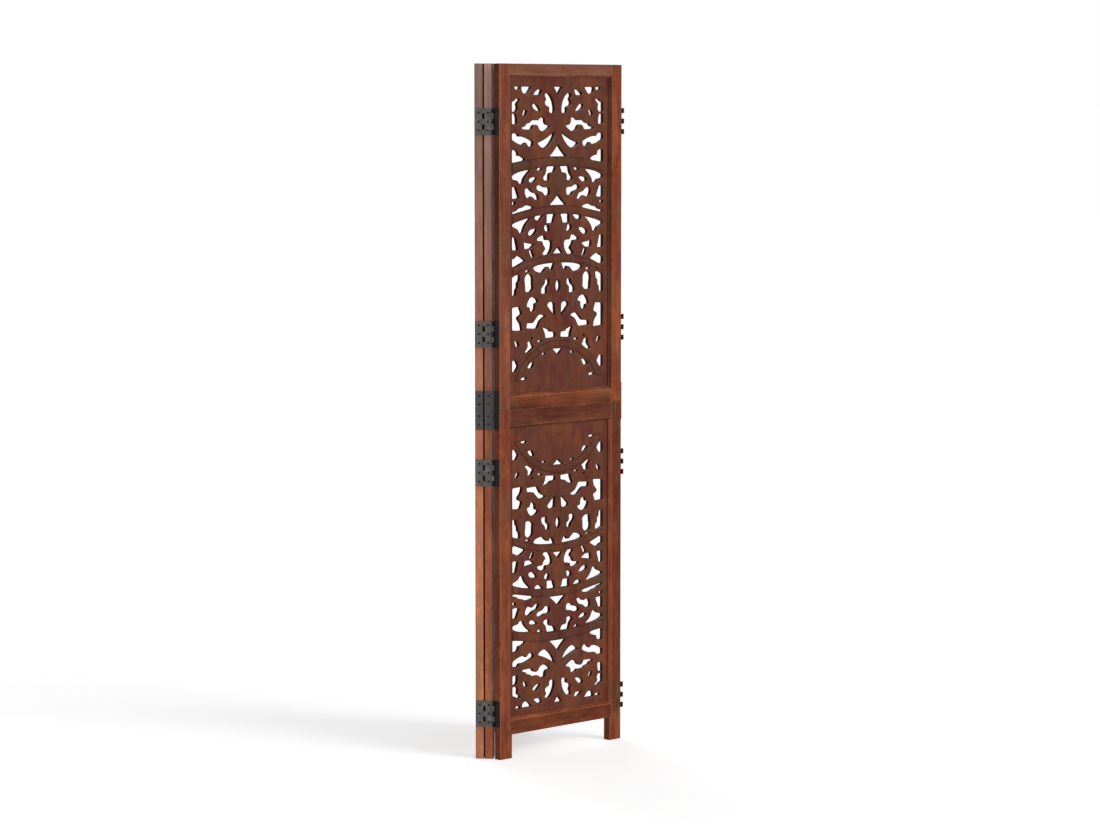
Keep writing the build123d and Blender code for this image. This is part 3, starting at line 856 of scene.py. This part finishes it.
# %% [markdown]
# ## How far to the nearest edge
#
# The relief depends on how far a point of the board is from the nearest opening, band edge or
# vein. Measuring to every outline would take minutes. A k-d tree sorts points in space once and
# then finds the nearest at once, so each outline is put into a tree as a row of close points.

# %% Nearest edge
OPENING_STEP, BAND_STEP = 0.5 * MM, 0.8 * MM
RIM_ROOM = 0.9 * MM  # nearer to an opening than this, a point counts as on its rim


def tree_of(points):
    tree = KDTree(len(points))
    for index, (x, z) in enumerate(points):
        tree.insert((x, z, 0.0), index)
    tree.balance()
    return tree


def distances(points, tree):
    return np.array([tree.find((x, z, 0.0))[2] for x, z in points])


for half, board in boards.items():
    board.open_tree = tree_of(np.vstack([spaced(opening, OPENING_STEP) for opening in board.openings]))
    band_edge = np.vstack([spaced(band, BAND_STEP) for band in board.bands])
    band_edge = band_edge[distances(band_edge, board.open_tree) > RIM_ROOM]
    board.band_tree = tree_of(band_edge)
    print(half, "board:", len(band_edge), "points along its bands")

# %% [markdown]
# ## Veins of the palm leaf
#
# The large palm leaf in each board has veins: shallow gouge cuts that fan out from its root. They
# are lines, not openings, so the engineer's model doesn't have them. Each is a short row of points
# that leans away from the leaf's middle and straightens towards its tip. The leaf is found by its
# eye, the slimmest opening on the board's centre line, and the veins are measured from there.

# %% Veins
VEINS = ((8, 20, 128), (20, 50, 126), (43, 26, 120), (57, 14, 84))  # lean in degrees, start, end (mm)
VEIN_STEP = 1.7 * MM
VEIN_STRAIGHTENING = 0.25
EYE_TO_ROOT = 84.0 * MM
CENTRED = 2.0 * MM
FINER = 0.2


def vein_lines(openings, seam_side):
    """Points along each vein of a board's palm leaf."""
    centres = np.array([opening.mean(axis=0) for opening in openings])
    slim = np.array([np.ptp(opening[:, 1]) / np.ptp(opening[:, 0]) for opening in openings])
    slim[np.abs(centres[:, 0] - np.median(centres[:, 0])) > CENTRED] = 0.0
    eye = centres[slim.argmax()]
    lines = []
    for degrees, first, last in VEINS:
        for side in (-1, 1):
            reach = np.arange(first * MM, last * MM, VEIN_STEP)
            lean = math.radians(degrees) * (1.0 - VEIN_STRAIGHTENING * reach / (last * MM))
            across = side * reach * np.sin(lean)
            up = seam_side * (EYE_TO_ROOT - reach * np.cos(lean))
            lines.append(np.column_stack([eye[0] + across, eye[1] + up]))
    return lines


def finer(line):
    """The same open line with more points on it."""
    steps = np.arange(0, len(line) - 0.9, FINER)
    return np.column_stack([np.interp(steps, range(len(line)), values) for values in line.T])


for half, board in boards.items():
    board.veins = vein_lines(board.openings, 1.0 if half == "lower" else -1.0)
    board.vein_tree = tree_of(np.vstack([finer(vein) for vein in board.veins]))
    print(half, "board:", len(board.veins), "veins")

# %% [markdown]
# ## The carved boards
#
# A jali board is sawn through first and then worked over with a gouge: the edges of each leaf are
# rolled over, and the plain arched bands are left standing and rounded along their length. Flat
# sheets with holes in them would look like cut card.
#
# The relief could be a bump in the material, but then it would vanish from the side. Here it's
# in the mesh. The points are chosen first: the outlines, rows of points that follow them at
# small distances, rows on both sides of each band and vein, and a loose grid between. Blender's
# Delaunay function joins them into triangles and leaves the openings free. Then each point is
# lifted or lowered by a height that depends only on how far it is from the nearest opening, band
# edge and vein.

# %% Points of a board
ROWS = (1.1 * MM, 2.8 * MM)
ROW_ROOM = 0.93  # a row's point is dropped when another opening is nearer than this share of the row
BAND_LINE_STEP = 2.4 * MM
BAND_SLOPE = 0.5 * MM
VEIN_HALF = 1.2 * MM
GRID = 6.0 * MM
EDGE_ROOM = 2 * MM
POINT_ROOM = 0.85 * MM


def thinned(points):
    """The points, leaving out each one that lies too close to one before it."""
    chosen, cells = [], {}
    for x, z in points:
        cell = (int(x / MM), int(z / MM))
        near = [cells.get((cell[0] + i, cell[1] + j)) for i in (-1, 0, 1) for j in (-1, 0, 1)]
        if all(other is None or math.hypot(x - other[0], z - other[1]) > POINT_ROOM for other in near):
            cells[cell] = (x, z)
            chosen.append((x, z))
    return np.array(chosen)


def free_points(board, low, high):
    """Rows of points along openings, bands and veins, and a loose grid between them."""
    rows = []
    for row in ROWS:
        beside = np.vstack([opening + side * row for opening, side in zip(board.openings, board.sides)])
        rows.append(beside[distances(beside, board.open_tree) > ROW_ROOM * row])
    for band in board.bands:
        line = spaced(band, BAND_LINE_STEP)
        rows += [line + normals(line) * BAND_SLOPE, line - normals(line) * BAND_SLOPE]
    for vein in board.veins:
        along = np.gradient(vein, axis=0)
        across = np.column_stack([-along[:, 1], along[:, 0]]) / np.linalg.norm(along, axis=1)[:, None]
        rows += [vein, vein + across * VEIN_HALF, vein - across * VEIN_HALF]
    for number, z in enumerate(np.arange(low[1] + GRID / 2, high[1], GRID)):
        across = np.arange(low[0] + GRID / 2 + (number % 2) * GRID / 2, high[0], GRID)
        rows.append(np.column_stack([across, np.full(len(across), z)]))
    points = np.vstack(rows)
    room = (points > low + EDGE_ROOM).all(axis=1) & (points < high - EDGE_ROOM).all(axis=1)
    room &= (distances(points, board.open_tree) > RIM_ROOM) & ~inside(points, board.openings)
    return thinned(points[room])


for half, board in boards.items():
    board.face = [np.array([corner.x, corner.z]) for corner in (board.low, board.high)]
    board.thick = [board.rim.min(axis=0), board.rim.max(axis=0)]
    board.free = free_points(board, *board.face)
    print(half, "board:", len(board.free), "points between its outlines")

# %% Relief
BAND_STAND = 1.2 * MM
BAND_CROWN = 1.0 * MM
BAND_HALF = 6.0 * MM
EDGE_ROLL = 1.3 * MM
ROLL_REACH = 5.0 * MM
VEIN_DEPTH = 0.8 * MM


def carved_heights(board, points, probes):
    """How far each point stands in front of the board's plain face, and what it lies on."""
    gap = np.clip(distances(points, board.open_tree) / ROLL_REACH, 0.0, 1.0)
    heights = -EDGE_ROLL * (1.0 - np.sqrt(1.0 - (1.0 - gap) ** 2))
    on_band = inside(probes, board.bands)
    across = np.clip(distances(points, board.band_tree) / BAND_HALF, 0.0, 1.0)
    heights[on_band] += BAND_STAND + BAND_CROWN * np.sqrt(1.0 - (1.0 - across[on_band]) ** 2)
    cut = np.clip(1.0 - distances(points, board.vein_tree) / VEIN_HALF, 0.0, 1.0)
    cut *= np.clip(2.0 * gap, 0.0, 1.0)
    cut[on_band] = 0.0
    return heights - VEIN_DEPTH * cut, on_band, gap, cut


print("bands stand", round((BAND_STAND + BAND_CROWN) / MM, 2), "mm proud")

# %% Sheets and walls
CORNERS = 4  # of a board; their numbers come before those of the openings' points
MERGE = 1e-7


def rectangle(low, high):
    return np.array([low, (high[0], low[1]), high, (low[0], high[1])])


def pierced_sheet(points, edges, openings):
    """Triangles between the points, none of them in an opening, and the new number of each point."""
    vectors = [Vector(point) for point in points]
    made, _, triangles, origin, _, _ = delaunay_2d_cdt(vectors, edges, [], 1, MERGE)
    sheet = np.array([tuple(point) for point in made])
    middles = sheet[np.array(triangles)].mean(axis=1)
    solid = ~inside(middles, openings)
    number = {source: index for index, sources in enumerate(origin) for source in sources}
    return sheet, [triangle for triangle, keep in zip(triangles, solid) if keep], number


def shell(loops, front_faces, front_of, back_faces, back_of, count, turn):
    """All faces of a board. The back's points start at count, the tongue's corners at turn."""
    faces = front_faces + [[count + i for i in reversed(face)] for face in back_faces]
    for loop in loops[1:]:
        for a, b in zip(loop, loop[1:] + loop[:1]):
            faces.append((front_of[a], front_of[b], count + back_of[b], count + back_of[a]))
    for a, b in ((0, 1), (1, 2), (2, 3), (3, 0)):
        deep_a, deep_b = turn + CORNERS + a, turn + CORNERS + b
        faces.append((front_of[a], front_of[b], turn + b, turn + a))
        faces.append((turn + a, turn + b, deep_b, deep_a))
        faces.append((deep_a, deep_b, count + back_of[b], count + back_of[a]))
    return faces


for half, board in boards.items():
    board.loops, start = [], 0
    for count in [CORNERS] + [len(opening) for opening in board.openings]:
        board.loops.append(list(range(start, start + count)))
        start += count
    print(half, "board:", start, "points on closed lines")

# %% Board mesh
RIM_PROBE = 0.8 * MM
BOARD_SHARP = 48
RIM_GAP = 0.02
# Beside the bands the board is darker, partly stain pooled in the carved corner and partly a painted shadow
# line.
BAND_TONE, BAND_FOOT_STAIN_AND_SHADE = -0.12, -0.42
BAND_FADED = 0.04
# The tones at the rims and at the back darken the edges and walls of the openings, partly stain soaked into
# the cut wood and partly painted shade. The vein tone is painted shade in the gouge cuts.
RIM_STAIN_AND_SHADE, BACK_STAIN_AND_SHADE, VEIN_PAINTED_SHADE = -0.26, -0.30, -0.34


def board_mesh(name, board):
    rims = np.vstack(board.openings)
    edges = [(loop[i - 1], loop[i]) for loop in board.loops for i in range(len(loop))]
    front, front_faces, front_of = pierced_sheet(
        np.vstack([rectangle(*board.face), rims, board.free]), edges, board.openings)
    back, back_faces, back_of = pierced_sheet(
        np.vstack([rectangle(*board.thick), rims]), edges, board.openings)

    # A point on a rim is neither on nor off a band, so it's asked for a little way into the wood.
    probes = front.copy()
    for number, point in enumerate(rims + np.vstack(board.sides) * RIM_PROBE):
        probes[front_of[CORNERS + number]] = point
    heights, on_band, gap, cut = carved_heights(board, front, probes)

    count = len(front)
    points = [(x, BOARD_FACE - height, z) for (x, z), height in zip(front, heights)]
    points += [(x, BOARD_BACK, z) for x, z in back]
    points += [(x, TONGUE_BACK, z) for x, z in np.vstack([rectangle(*board.face), rectangle(*board.thick)])]
    mesh = bpy.data.meshes.new(name)
    mesh.from_pydata(points, [], shell(
        board.loops, front_faces, front_of, back_faces, back_of, count, count + len(back)))
    shape = bmesh.new()
    shape.from_mesh(mesh)
    bmesh.ops.recalc_face_normals(shape, faces=shape.faces)
    shape.to_mesh(mesh)
    shape.free()

    worn, tone, faded = np.zeros(len(points)), np.full(len(points), BACK_STAIN_AND_SHADE), np.zeros(len(points))
    on_rim = gap < RIM_GAP
    beside = ~on_band & (distances(front, board.band_tree) < 2.0 * BAND_SLOPE)
    worn[:count] = on_rim
    faded[:count] = BAND_FADED * on_band
    # Beside the bands and on the openings' rims and walls the darkening is partly stain and partly painted
    # shade; in the veins it is painted shade.
    tone[:count] = np.where(on_band, BAND_TONE, np.where(beside, BAND_FOOT_STAIN_AND_SHADE, 0.0))
    tone[:count] += RIM_STAIN_AND_SHADE * on_rim + VEIN_PAINTED_SHADE * cut
    set_attributes(mesh, np.array(points)[:, [2, 0, 1]], worn=worn, tone=tone, faded=faded)
    smooth_by_angle(mesh, BOARD_SHARP)
    return mesh


for half, board in boards.items():
    name = f"{half}_jali_board"
    wood_meshes[name] = board_mesh(name, board)
    print(name, len(wood_meshes[name].vertices), "points", len(wood_meshes[name].polygons), "faces")

# %% [markdown]
# ## The stain of each piece, with painted light and shade
#
# No two sticks took the stain alike, and it isn't even along one stick. The heads of the upper
# stiles faded, the feet are grimy, and the joint between the halves is dark. The bevels and the
# left sides of the front panel's left stiles carry painted light and shade: darker on the upper
# right bevel and the upper left side, lighter on the lower right bevel, the bottom rail's bevel
# and the lower left side. The folded pair turns its long edges to the viewer. They are lighter,
# partly as bare sanded wood and partly as a painted highlight, orange below and greyish above
# where a painted reflection pales them, with a painted shadow line on each arris, and with
# painted shade behind the hinge leaves.
#
# All this could be painted, but a painted picture is tied to one size. The places follow from the
# shape, so each point's tone, fading and wear are worked out from where it lies, with tables that
# say how much each stick differs. A tone of -0.5 halves the colour and a tone of 1 doubles it.

# %% Stain values
TONES = {
    "front_lower_middle_rail": -0.38, "front_upper_middle_rail": 0.02, "front_bottom_rail": -0.22,
    "front_top_rail": 0.0, "front_lower_right_stile": -0.28, "front_upper_right_stile": 0.0,
    "front_lower_left_stile": 0.08, "front_upper_left_stile": 0.0,
}
FADED = {"front_top_rail": 0.20, "front_upper_left_stile": 0.12, "front_lower_middle_rail": 0.10}
# Painted light and shade on the bevels: darker on the upper right stile's, lighter on the lower right
# stile's and the bottom rail's.
BEVEL_LIGHT_AND_SHADE = {"front_upper_right_stile": -0.50, "front_lower_right_stile": 0.65, "front_bottom_rail": 0.40}
# How much the head or the foot of a stile differs: tone and faded.
HEADS = {"front_upper_right_stile": (-0.34, 0.30), "front_upper_left_stile": (-0.10, 0.15)}
FEET = {"front_lower_right_stile": (0.42, 0.0)}
# Painted light and shade on the left side of the front panel's left stiles: darker above, lighter below.
LEFT_SIDE_LIGHT_AND_SHADE = {"front_upper_left_stile": -0.36, "front_lower_left_stile": 0.10}
RUBBED_FACES = {"front_top_rail": 0.40}
# The edges of the folded pair, at a stile's lower end and at its upper end: tone, faded, worn. They
# are partly lighter bare wood and partly a painted highlight; the strong fading at the top of the
# upper stiles is a painted reflection.
BARE_AND_LIT_EDGES = {
    "rear_lower_left_stile": ((2.60, 0.02, 0.60), (2.20, 0.14, 0.54)),
    "rear_upper_left_stile": ((2.00, 0.26, 0.50), (0.58, 0.92, 0.0)),
    "middle_lower_right_stile": ((1.15, 0.04, 0.44), (0.95, 0.14, 0.40)),
    "middle_upper_right_stile": ((0.90, 0.30, 0.30), (1.28, 0.96, 0.0)),
}
# The last two are painted shade: a shadow line on the folded pair's arrises, and the shade on their edges
# behind the hinge leaves.
GRIME, JOINT_SHADE, ARRIS_SHADE, SHADE_BEHIND_LEAF = -0.45, -0.50, -0.85, -1.30
OTHER_TONES = 0.07  # pieces that aren't in the table differ by up to this, either way
NEAR, OFF_FACE = 0.1 * MM, 0.05 * MM  # nearer to a flat face than this is on it, farther is off it
print("own tones:", len(TONES), "sticks, bare and lit edges:", len(BARE_AND_LIT_EDGES))

# %% Stain
chance = np.random.default_rng(41)


def read_floats(mesh, name):
    values = np.zeros(len(mesh.vertices))
    mesh.attributes[name].data.foreach_get("value", values)
    return values


def stain_stick(node_name, place, worn, tone, faded):
    """The bevels, the ends and the joint of a stile or a rail."""
    x, y, z = place
    # The bevels and the left sides get painted light and shade.
    on_bevel = (y > OFF_FACE) & (y < BOARD_FACE - NEAR)
    if "stile" in node_name:
        on_bevel &= (np.abs(x - WIDTH / 2) < WIDTH / 2 - STILE + BEVEL) & (z > leg_top)
        tone[x < NEAR] += LEFT_SIDE_LIGHT_AND_SHADE.get(node_name, 0.0)
    tone[on_bevel] += BEVEL_LIGHT_AND_SHADE.get(node_name, 0.0)
    for ends, there in ((HEADS, z > HEIGHT - 1.5 * SOFT), (FEET, z < leg_top + NEAR)):
        end_tone, end_faded = ends.get(node_name, (0.0, 0.0))
        tone[there] += end_tone
        faded[there] += end_faded
    tone[z < SOFT] += GRIME
    at_joint = (z > SEAM - TOUCHING) & (z < SEAM + 1.1 * SOFT)
    tone[at_joint] += JOINT_SHADE
    worn[at_joint] = 0.0


def bare_and_lit_edge(node_name, place, worn, tone, faded):
    """An edge of the folded pair: painted shade on its arrises and behind leaves, lighter wood and painted
    highlight on its flat.
    """
    x, _, z = place
    from_edge = np.minimum(x, WIDTH - x)
    outer, flat = from_edge < OUTER_ROUND - OFF_FACE, from_edge < NEAR
    # A painted shadow line on the arris.
    tone[outer], worn[outer] = ARRIS_SHADE, 0.0
    rise = (z[flat] - z.min()) / (z.max() - z.min())
    # The flat: lighter bare wood with a painted highlight, greyed towards the top by a painted reflection.
    for values, low, high in zip((tone, faded, worn), *BARE_AND_LIT_EDGES[node_name]):
        values[flat] = low + (high - low) * rise
    # Painted shade on the edge behind the hinge leaves.
    for foot, head in leaf_spans:
        behind = flat & (z > foot) & (z < head)
        tone[behind], faded[behind], worn[behind] = SHADE_BEHIND_LEAF, 0.0, 0.0


def stain(mesh, node_name):
    """Set how light, how faded and how worn each point of a wooden piece is."""
    place = np.zeros(3 * len(mesh.vertices))
    mesh.vertices.foreach_get("co", place)
    place = place.reshape(-1, 3).T
    worn, tone, faded = [read_floats(mesh, name) for name in ("worn", "tone", "faded")]
    tone += TONES.get(node_name, chance.uniform(-OTHER_TONES, OTHER_TONES))
    faded += FADED.get(node_name, 0.0)
    if "board" not in node_name:
        stain_stick(node_name, place, worn, tone, faded)
    np.maximum(worn, RUBBED_FACES.get(node_name, 0.0), out=worn)
    if node_name in BARE_AND_LIT_EDGES:
        bare_and_lit_edge(node_name, place, worn, tone, faded)
    for name, values in (("worn", worn), ("tone", tone), ("faded", faded)):
        mesh.attributes[name].data.foreach_set("value", values)


print("a bare and lit edge starts", round(OUTER_ROUND / MM, 2), "mm round the corner")

# %% [markdown]
# ## Three panels of wood
#
# Each wooden piece now takes the place of its node, once for each panel. The panels could share
# one mesh, but then their grain would repeat. So each piece gets a copy with its own "stick"
# number and stain. The sticks have long flat faces beside narrow rounded ones. Weighted normals
# let the large faces decide the shading, so that they look flat.

# %% Place the wood
HIGHEST_STICK = 9


def add_wood(node_name, mesh, panel, material):
    """One wooden piece in its panel's place, standing for its node."""
    own = mesh.copy()
    own.name = node_name
    stick = np.full(len(own.vertices), chance.uniform(0, HIGHEST_STICK))
    own.attributes.new("stick", "FLOAT", "POINT").data.foreach_set("value", stick)
    stain(own, node_name)
    own.materials.append(material)
    piece = placed(node_name + "_wood", own)
    piece.matrix_world = panel_place[panel]
    if "board" not in node_name:
        piece.modifiers.new("even shading", "WEIGHTED_NORMAL").keep_sharp = True
    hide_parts(node_name)
    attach(piece, panel + "_panel")


for panel in panel_place:
    for name, mesh in wood_meshes.items():
        add_wood(f"{panel}_{name}", mesh, panel, board_wood if "board" in name else frame_wood)
print("wooden pieces:", len(panel_place) * len(wood_meshes))

# %% [markdown]
# ## Blackened steel
#
# The hinge leaves, the joining plates and the pins are thin pressed steel with a dark finish, so
# the engineer's shapes stay as they are and only get a material. The finish is a dark oxide over
# metal: mottled, a little glossier where hands and screwdrivers rubbed it, with bare grey metal
# showing in specks. It's one group, used with different amounts of bare metal: the front panel's
# leaves and plate are almost black, partly from their black finish and partly as painted shade,
# the folded pair's are greyer, the pins are rubbed nearly bright by turning, and the screws are
# the darkest.

# %% The oxide group
MOTTLE, SPECKS = (70.0, 4.0, 0.6), (700.0, 3.0, 0.6)  # scale, detail, roughness
MOTTLE_SHARE, SPECK_SHARE = 0.7, 0.3
BARE_START, BARE_PULL, BARE_WIDTH = 0.66, 0.5, 0.22
OXIDE_ROUGHNESS = (0.3, 0.7, 0.58, 0.36)  # noise from, noise to, dullest, glossiest
OXIDE_METAL, BARE_METAL = 0.10, 0.95


def dark_oxide():
    """The group: dark oxide with bare metal showing where two noises add up."""
    tree, given, result = group_with(
        "dark oxide",
        [("Bare metal", FLOAT, 0.2), ("Dark", COLOR, (0.03, 0.028, 0.026, 1)),
         ("Metal", COLOR, (0.30, 0.29, 0.27, 1))],
        [("Color", COLOR), ("Roughness", FLOAT), ("Metallic", FLOAT), ("Height", FLOAT)])
    place = node(tree, "ShaderNodeTexCoord").outputs["Object"]
    mottle, specks = noise(tree, place, *MOTTLE), noise(tree, place, *SPECKS)
    cover = calculated(tree, "ADD", multiplied(tree, mottle, MOTTLE_SHARE),
                       multiplied(tree, specks, SPECK_SHARE))
    limit = calculated(tree, "SUBTRACT", BARE_START, multiplied(tree, given["Bare metal"], BARE_PULL))
    bare = ranged(tree, cover, limit, calculated(tree, "ADD", limit, BARE_WIDTH))
    put(tree, result, {
        "Color": mixed(tree, bare, given["Dark"], given["Metal"]),
        "Roughness": ranged(tree, mottle, *OXIDE_ROUGHNESS),
        "Metallic": ranged(tree, bare, 0.0, 1.0, OXIDE_METAL, BARE_METAL),
        "Height": specks})
    return tree


oxide_group = dark_oxide()
print("oxide group:", len(oxide_group.nodes), "nodes")

# %% Steel materials
OXIDE_BUMP = (0.3, 0.2 * MM)  # strength and distance


def steel_material(name, bare_metal, dark, shine):
    material, tree, shader = new_material(name)
    finish = node(tree, "ShaderNodeGroup", node_tree=oxide_group)
    put(tree, finish, {"Bare metal": bare_metal, "Dark": dark})
    put(tree, shader, {
        "Base Color": finish.outputs["Color"], "Roughness": finish.outputs["Roughness"],
        "Metallic": finish.outputs["Metallic"], "Specular IOR Level": shine})
    bumped(tree, shader, finish.outputs["Height"], *OXIDE_BUMP)
    return material


leaf_steel = steel_material("hinge steel", 0.26, (0.108, 0.097, 0.090, 1), 0.4)
# The front panel's leaves and plate: a black finish, darkened further as painted shade.
black_shaded_steel = steel_material("black shaded hinge steel", 0.04, (0.011, 0.009, 0.008, 1), 0.2)
plate_steel = steel_material("plate steel", 0.16, (0.058, 0.055, 0.050, 1), 0.4)
screw_steel = steel_material("screw steel", 0.02, (0.010, 0.009, 0.008, 1), 0.3)
pin_steel = steel_material("pin steel", 0.75, (0.08, 0.076, 0.07, 1), 0.5)
STEELS = {"pins": pin_steel, "plates": plate_steel, "leaves": leaf_steel}
steel_nodes = {name: cad_node for name, cad_node in nodes.items() if name.split("_")[-1] in STEELS}
for name, cad_node in steel_nodes.items():
    kind = name.split("_")[-1]
    # The front panel's leaves and plate take the black copy, which is partly painted shade.
    black_in_shade = name.startswith("front_") and kind != "pins"
    for slot in cad_node.material_slots:
        slot.material = black_shaded_steel if black_in_shade else STEELS[kind]
print("steel on", len(steel_nodes), "nodes")

# %% [markdown]
# ## Screws
#
# A countersunk wood screw: a flat head with a cross recess, a cone, and a shank that goes into
# the wood. The recess could be cut with a Boolean, but a cut leaves poor faces on so small a
# head. So the outline of the cross and the rim of the head are drawn as two rings, and Blender's
# triangle fill closes the flat between them.
#
# One is made along +X, with its head at the origin. The heights come from the heads in the
# engineer's model, each screw is turned by chance, as a screwdriver leaves it, and the screws of
# a panel's node become one mesh.

# %% One screw
SHANK = 1.5 * MM
HEAD = 3.0 * MM
HEAD_EASED, RIM_DEPTH = 0.15 * MM, 0.12 * MM
SCREW_LENGTH = 15.0 * MM
ARM, ARM_HALF, RECESS = 1.7 * MM, 0.35 * MM, 0.9 * MM
RECESS_FLOOR = 0.6  # the recess narrows to this share of its width
SIDES = 24


def ring_of(shape, radius, depth):
    points = [(math.cos(math.tau * i / SIDES), math.sin(math.tau * i / SIDES)) for i in range(SIDES)]
    return [shape.verts.new((-depth, radius * y, radius * z)) for y, z in points]


def joined(shape, first, second):
    for i in range(len(first)):
        shape.faces.new((first[i - 1], first[i], second[i], second[i - 1]))


def one_screw(shape):
    """Adds a screw to a bmesh: its head's flat face at x = 0, its shank towards -x."""
    profile = [(HEAD - HEAD_EASED, 0.0), (HEAD, RIM_DEPTH), (SHANK, HEAD - SHANK), (SHANK, SCREW_LENGTH)]
    rings = [ring_of(shape, radius, depth) for radius, depth in profile]
    for first, second in zip(rings, rings[1:]):
        joined(shape, first, second)
    shape.faces.new(rings[-1])
    arm = [(ARM, -ARM_HALF), (ARM, ARM_HALF), (ARM_HALF, ARM_HALF)]
    cross = []
    for _ in range(4):
        cross += arm
        arm = [(-z, y) for y, z in arm]
    top = [shape.verts.new((0.0, y, z)) for y, z in cross]
    recess = [shape.verts.new((-RECESS, y * RECESS_FLOOR, z * RECESS_FLOOR)) for y, z in cross]
    joined(shape, top, recess)
    shape.faces.new(recess)
    flat = [shape.edges.get((ring[i - 1], ring[i])) for ring in (rings[0], top) for i in range(len(ring))]
    bmesh.ops.triangle_fill(shape, edges=flat, use_beauty=True)
    bmesh.ops.recalc_face_normals(shape, faces=shape.faces)


print("screw:", round(2 * HEAD / MM, 1), "mm head,", round(SCREW_LENGTH / MM, 1), "mm long")

# %% Screws of a panel
HEADS_APART = 3 * MM
SCREW_SHARP = 35


def head_heights(node_name):
    """The heights of the screw heads on the front panel's left edge."""
    low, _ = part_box(node_name)
    heights = sorted(v.co.z for v in nodes[node_name].data.vertices if v.co.x < low.x + TOUCHING)
    groups = [[heights[0]]]
    for height in heights[1:]:
        if height - groups[-1][-1] > HEADS_APART:
            groups.append([])
        groups[-1].append(height)
    return [(group[0] + group[-1]) / 2 for group in groups]


def screws_mesh(name, node_name):
    """All the screws of a node, on both edges of a panel."""
    low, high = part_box(node_name)
    whole = bmesh.new()
    for height in head_heights(node_name):
        for x, facing in ((high.x - CORNER.x, 0.0), (low.x - CORNER.x, math.pi)):
            single = bmesh.new()
            one_screw(single)
            turn = Matrix.Rotation(chance.uniform(0, math.pi / 2), 4, "X")
            place = Matrix.Translation((x, THICKNESS / 2, height))
            single.transform(place @ Matrix.Rotation(facing, 4, "Z") @ turn)
            piece = bpy.data.meshes.new("single screw")
            single.to_mesh(piece)
            single.free()
            whole.from_mesh(piece)
            bpy.data.meshes.remove(piece)
    mesh = bpy.data.meshes.new(name)
    whole.to_mesh(mesh)
    whole.free()
    smooth_by_angle(mesh, SCREW_SHARP)
    mesh.materials.append(screw_steel)
    return mesh


for kind in ("hinge_screws", "plate_screws"):
    mesh = screws_mesh(kind, "front_" + kind)
    print(kind, len(head_heights("front_" + kind)), "on each edge")
    for panel, place in panel_place.items():
        piece = placed(f"{panel}_{kind}_turned", mesh)
        piece.matrix_world = place
        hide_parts(f"{panel}_{kind}")
        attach(piece, panel + "_panel")

# %% [markdown]
# ## Compare the sizes and finish
#
# Dressing the model mustn't change its size.

# %% Finish
visual_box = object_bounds()
changes = [abs(a - b) for one, two in zip(cad_box, visual_box) for a, b in zip(one, two)]
print("largest change of size:", round(max(changes), 5))
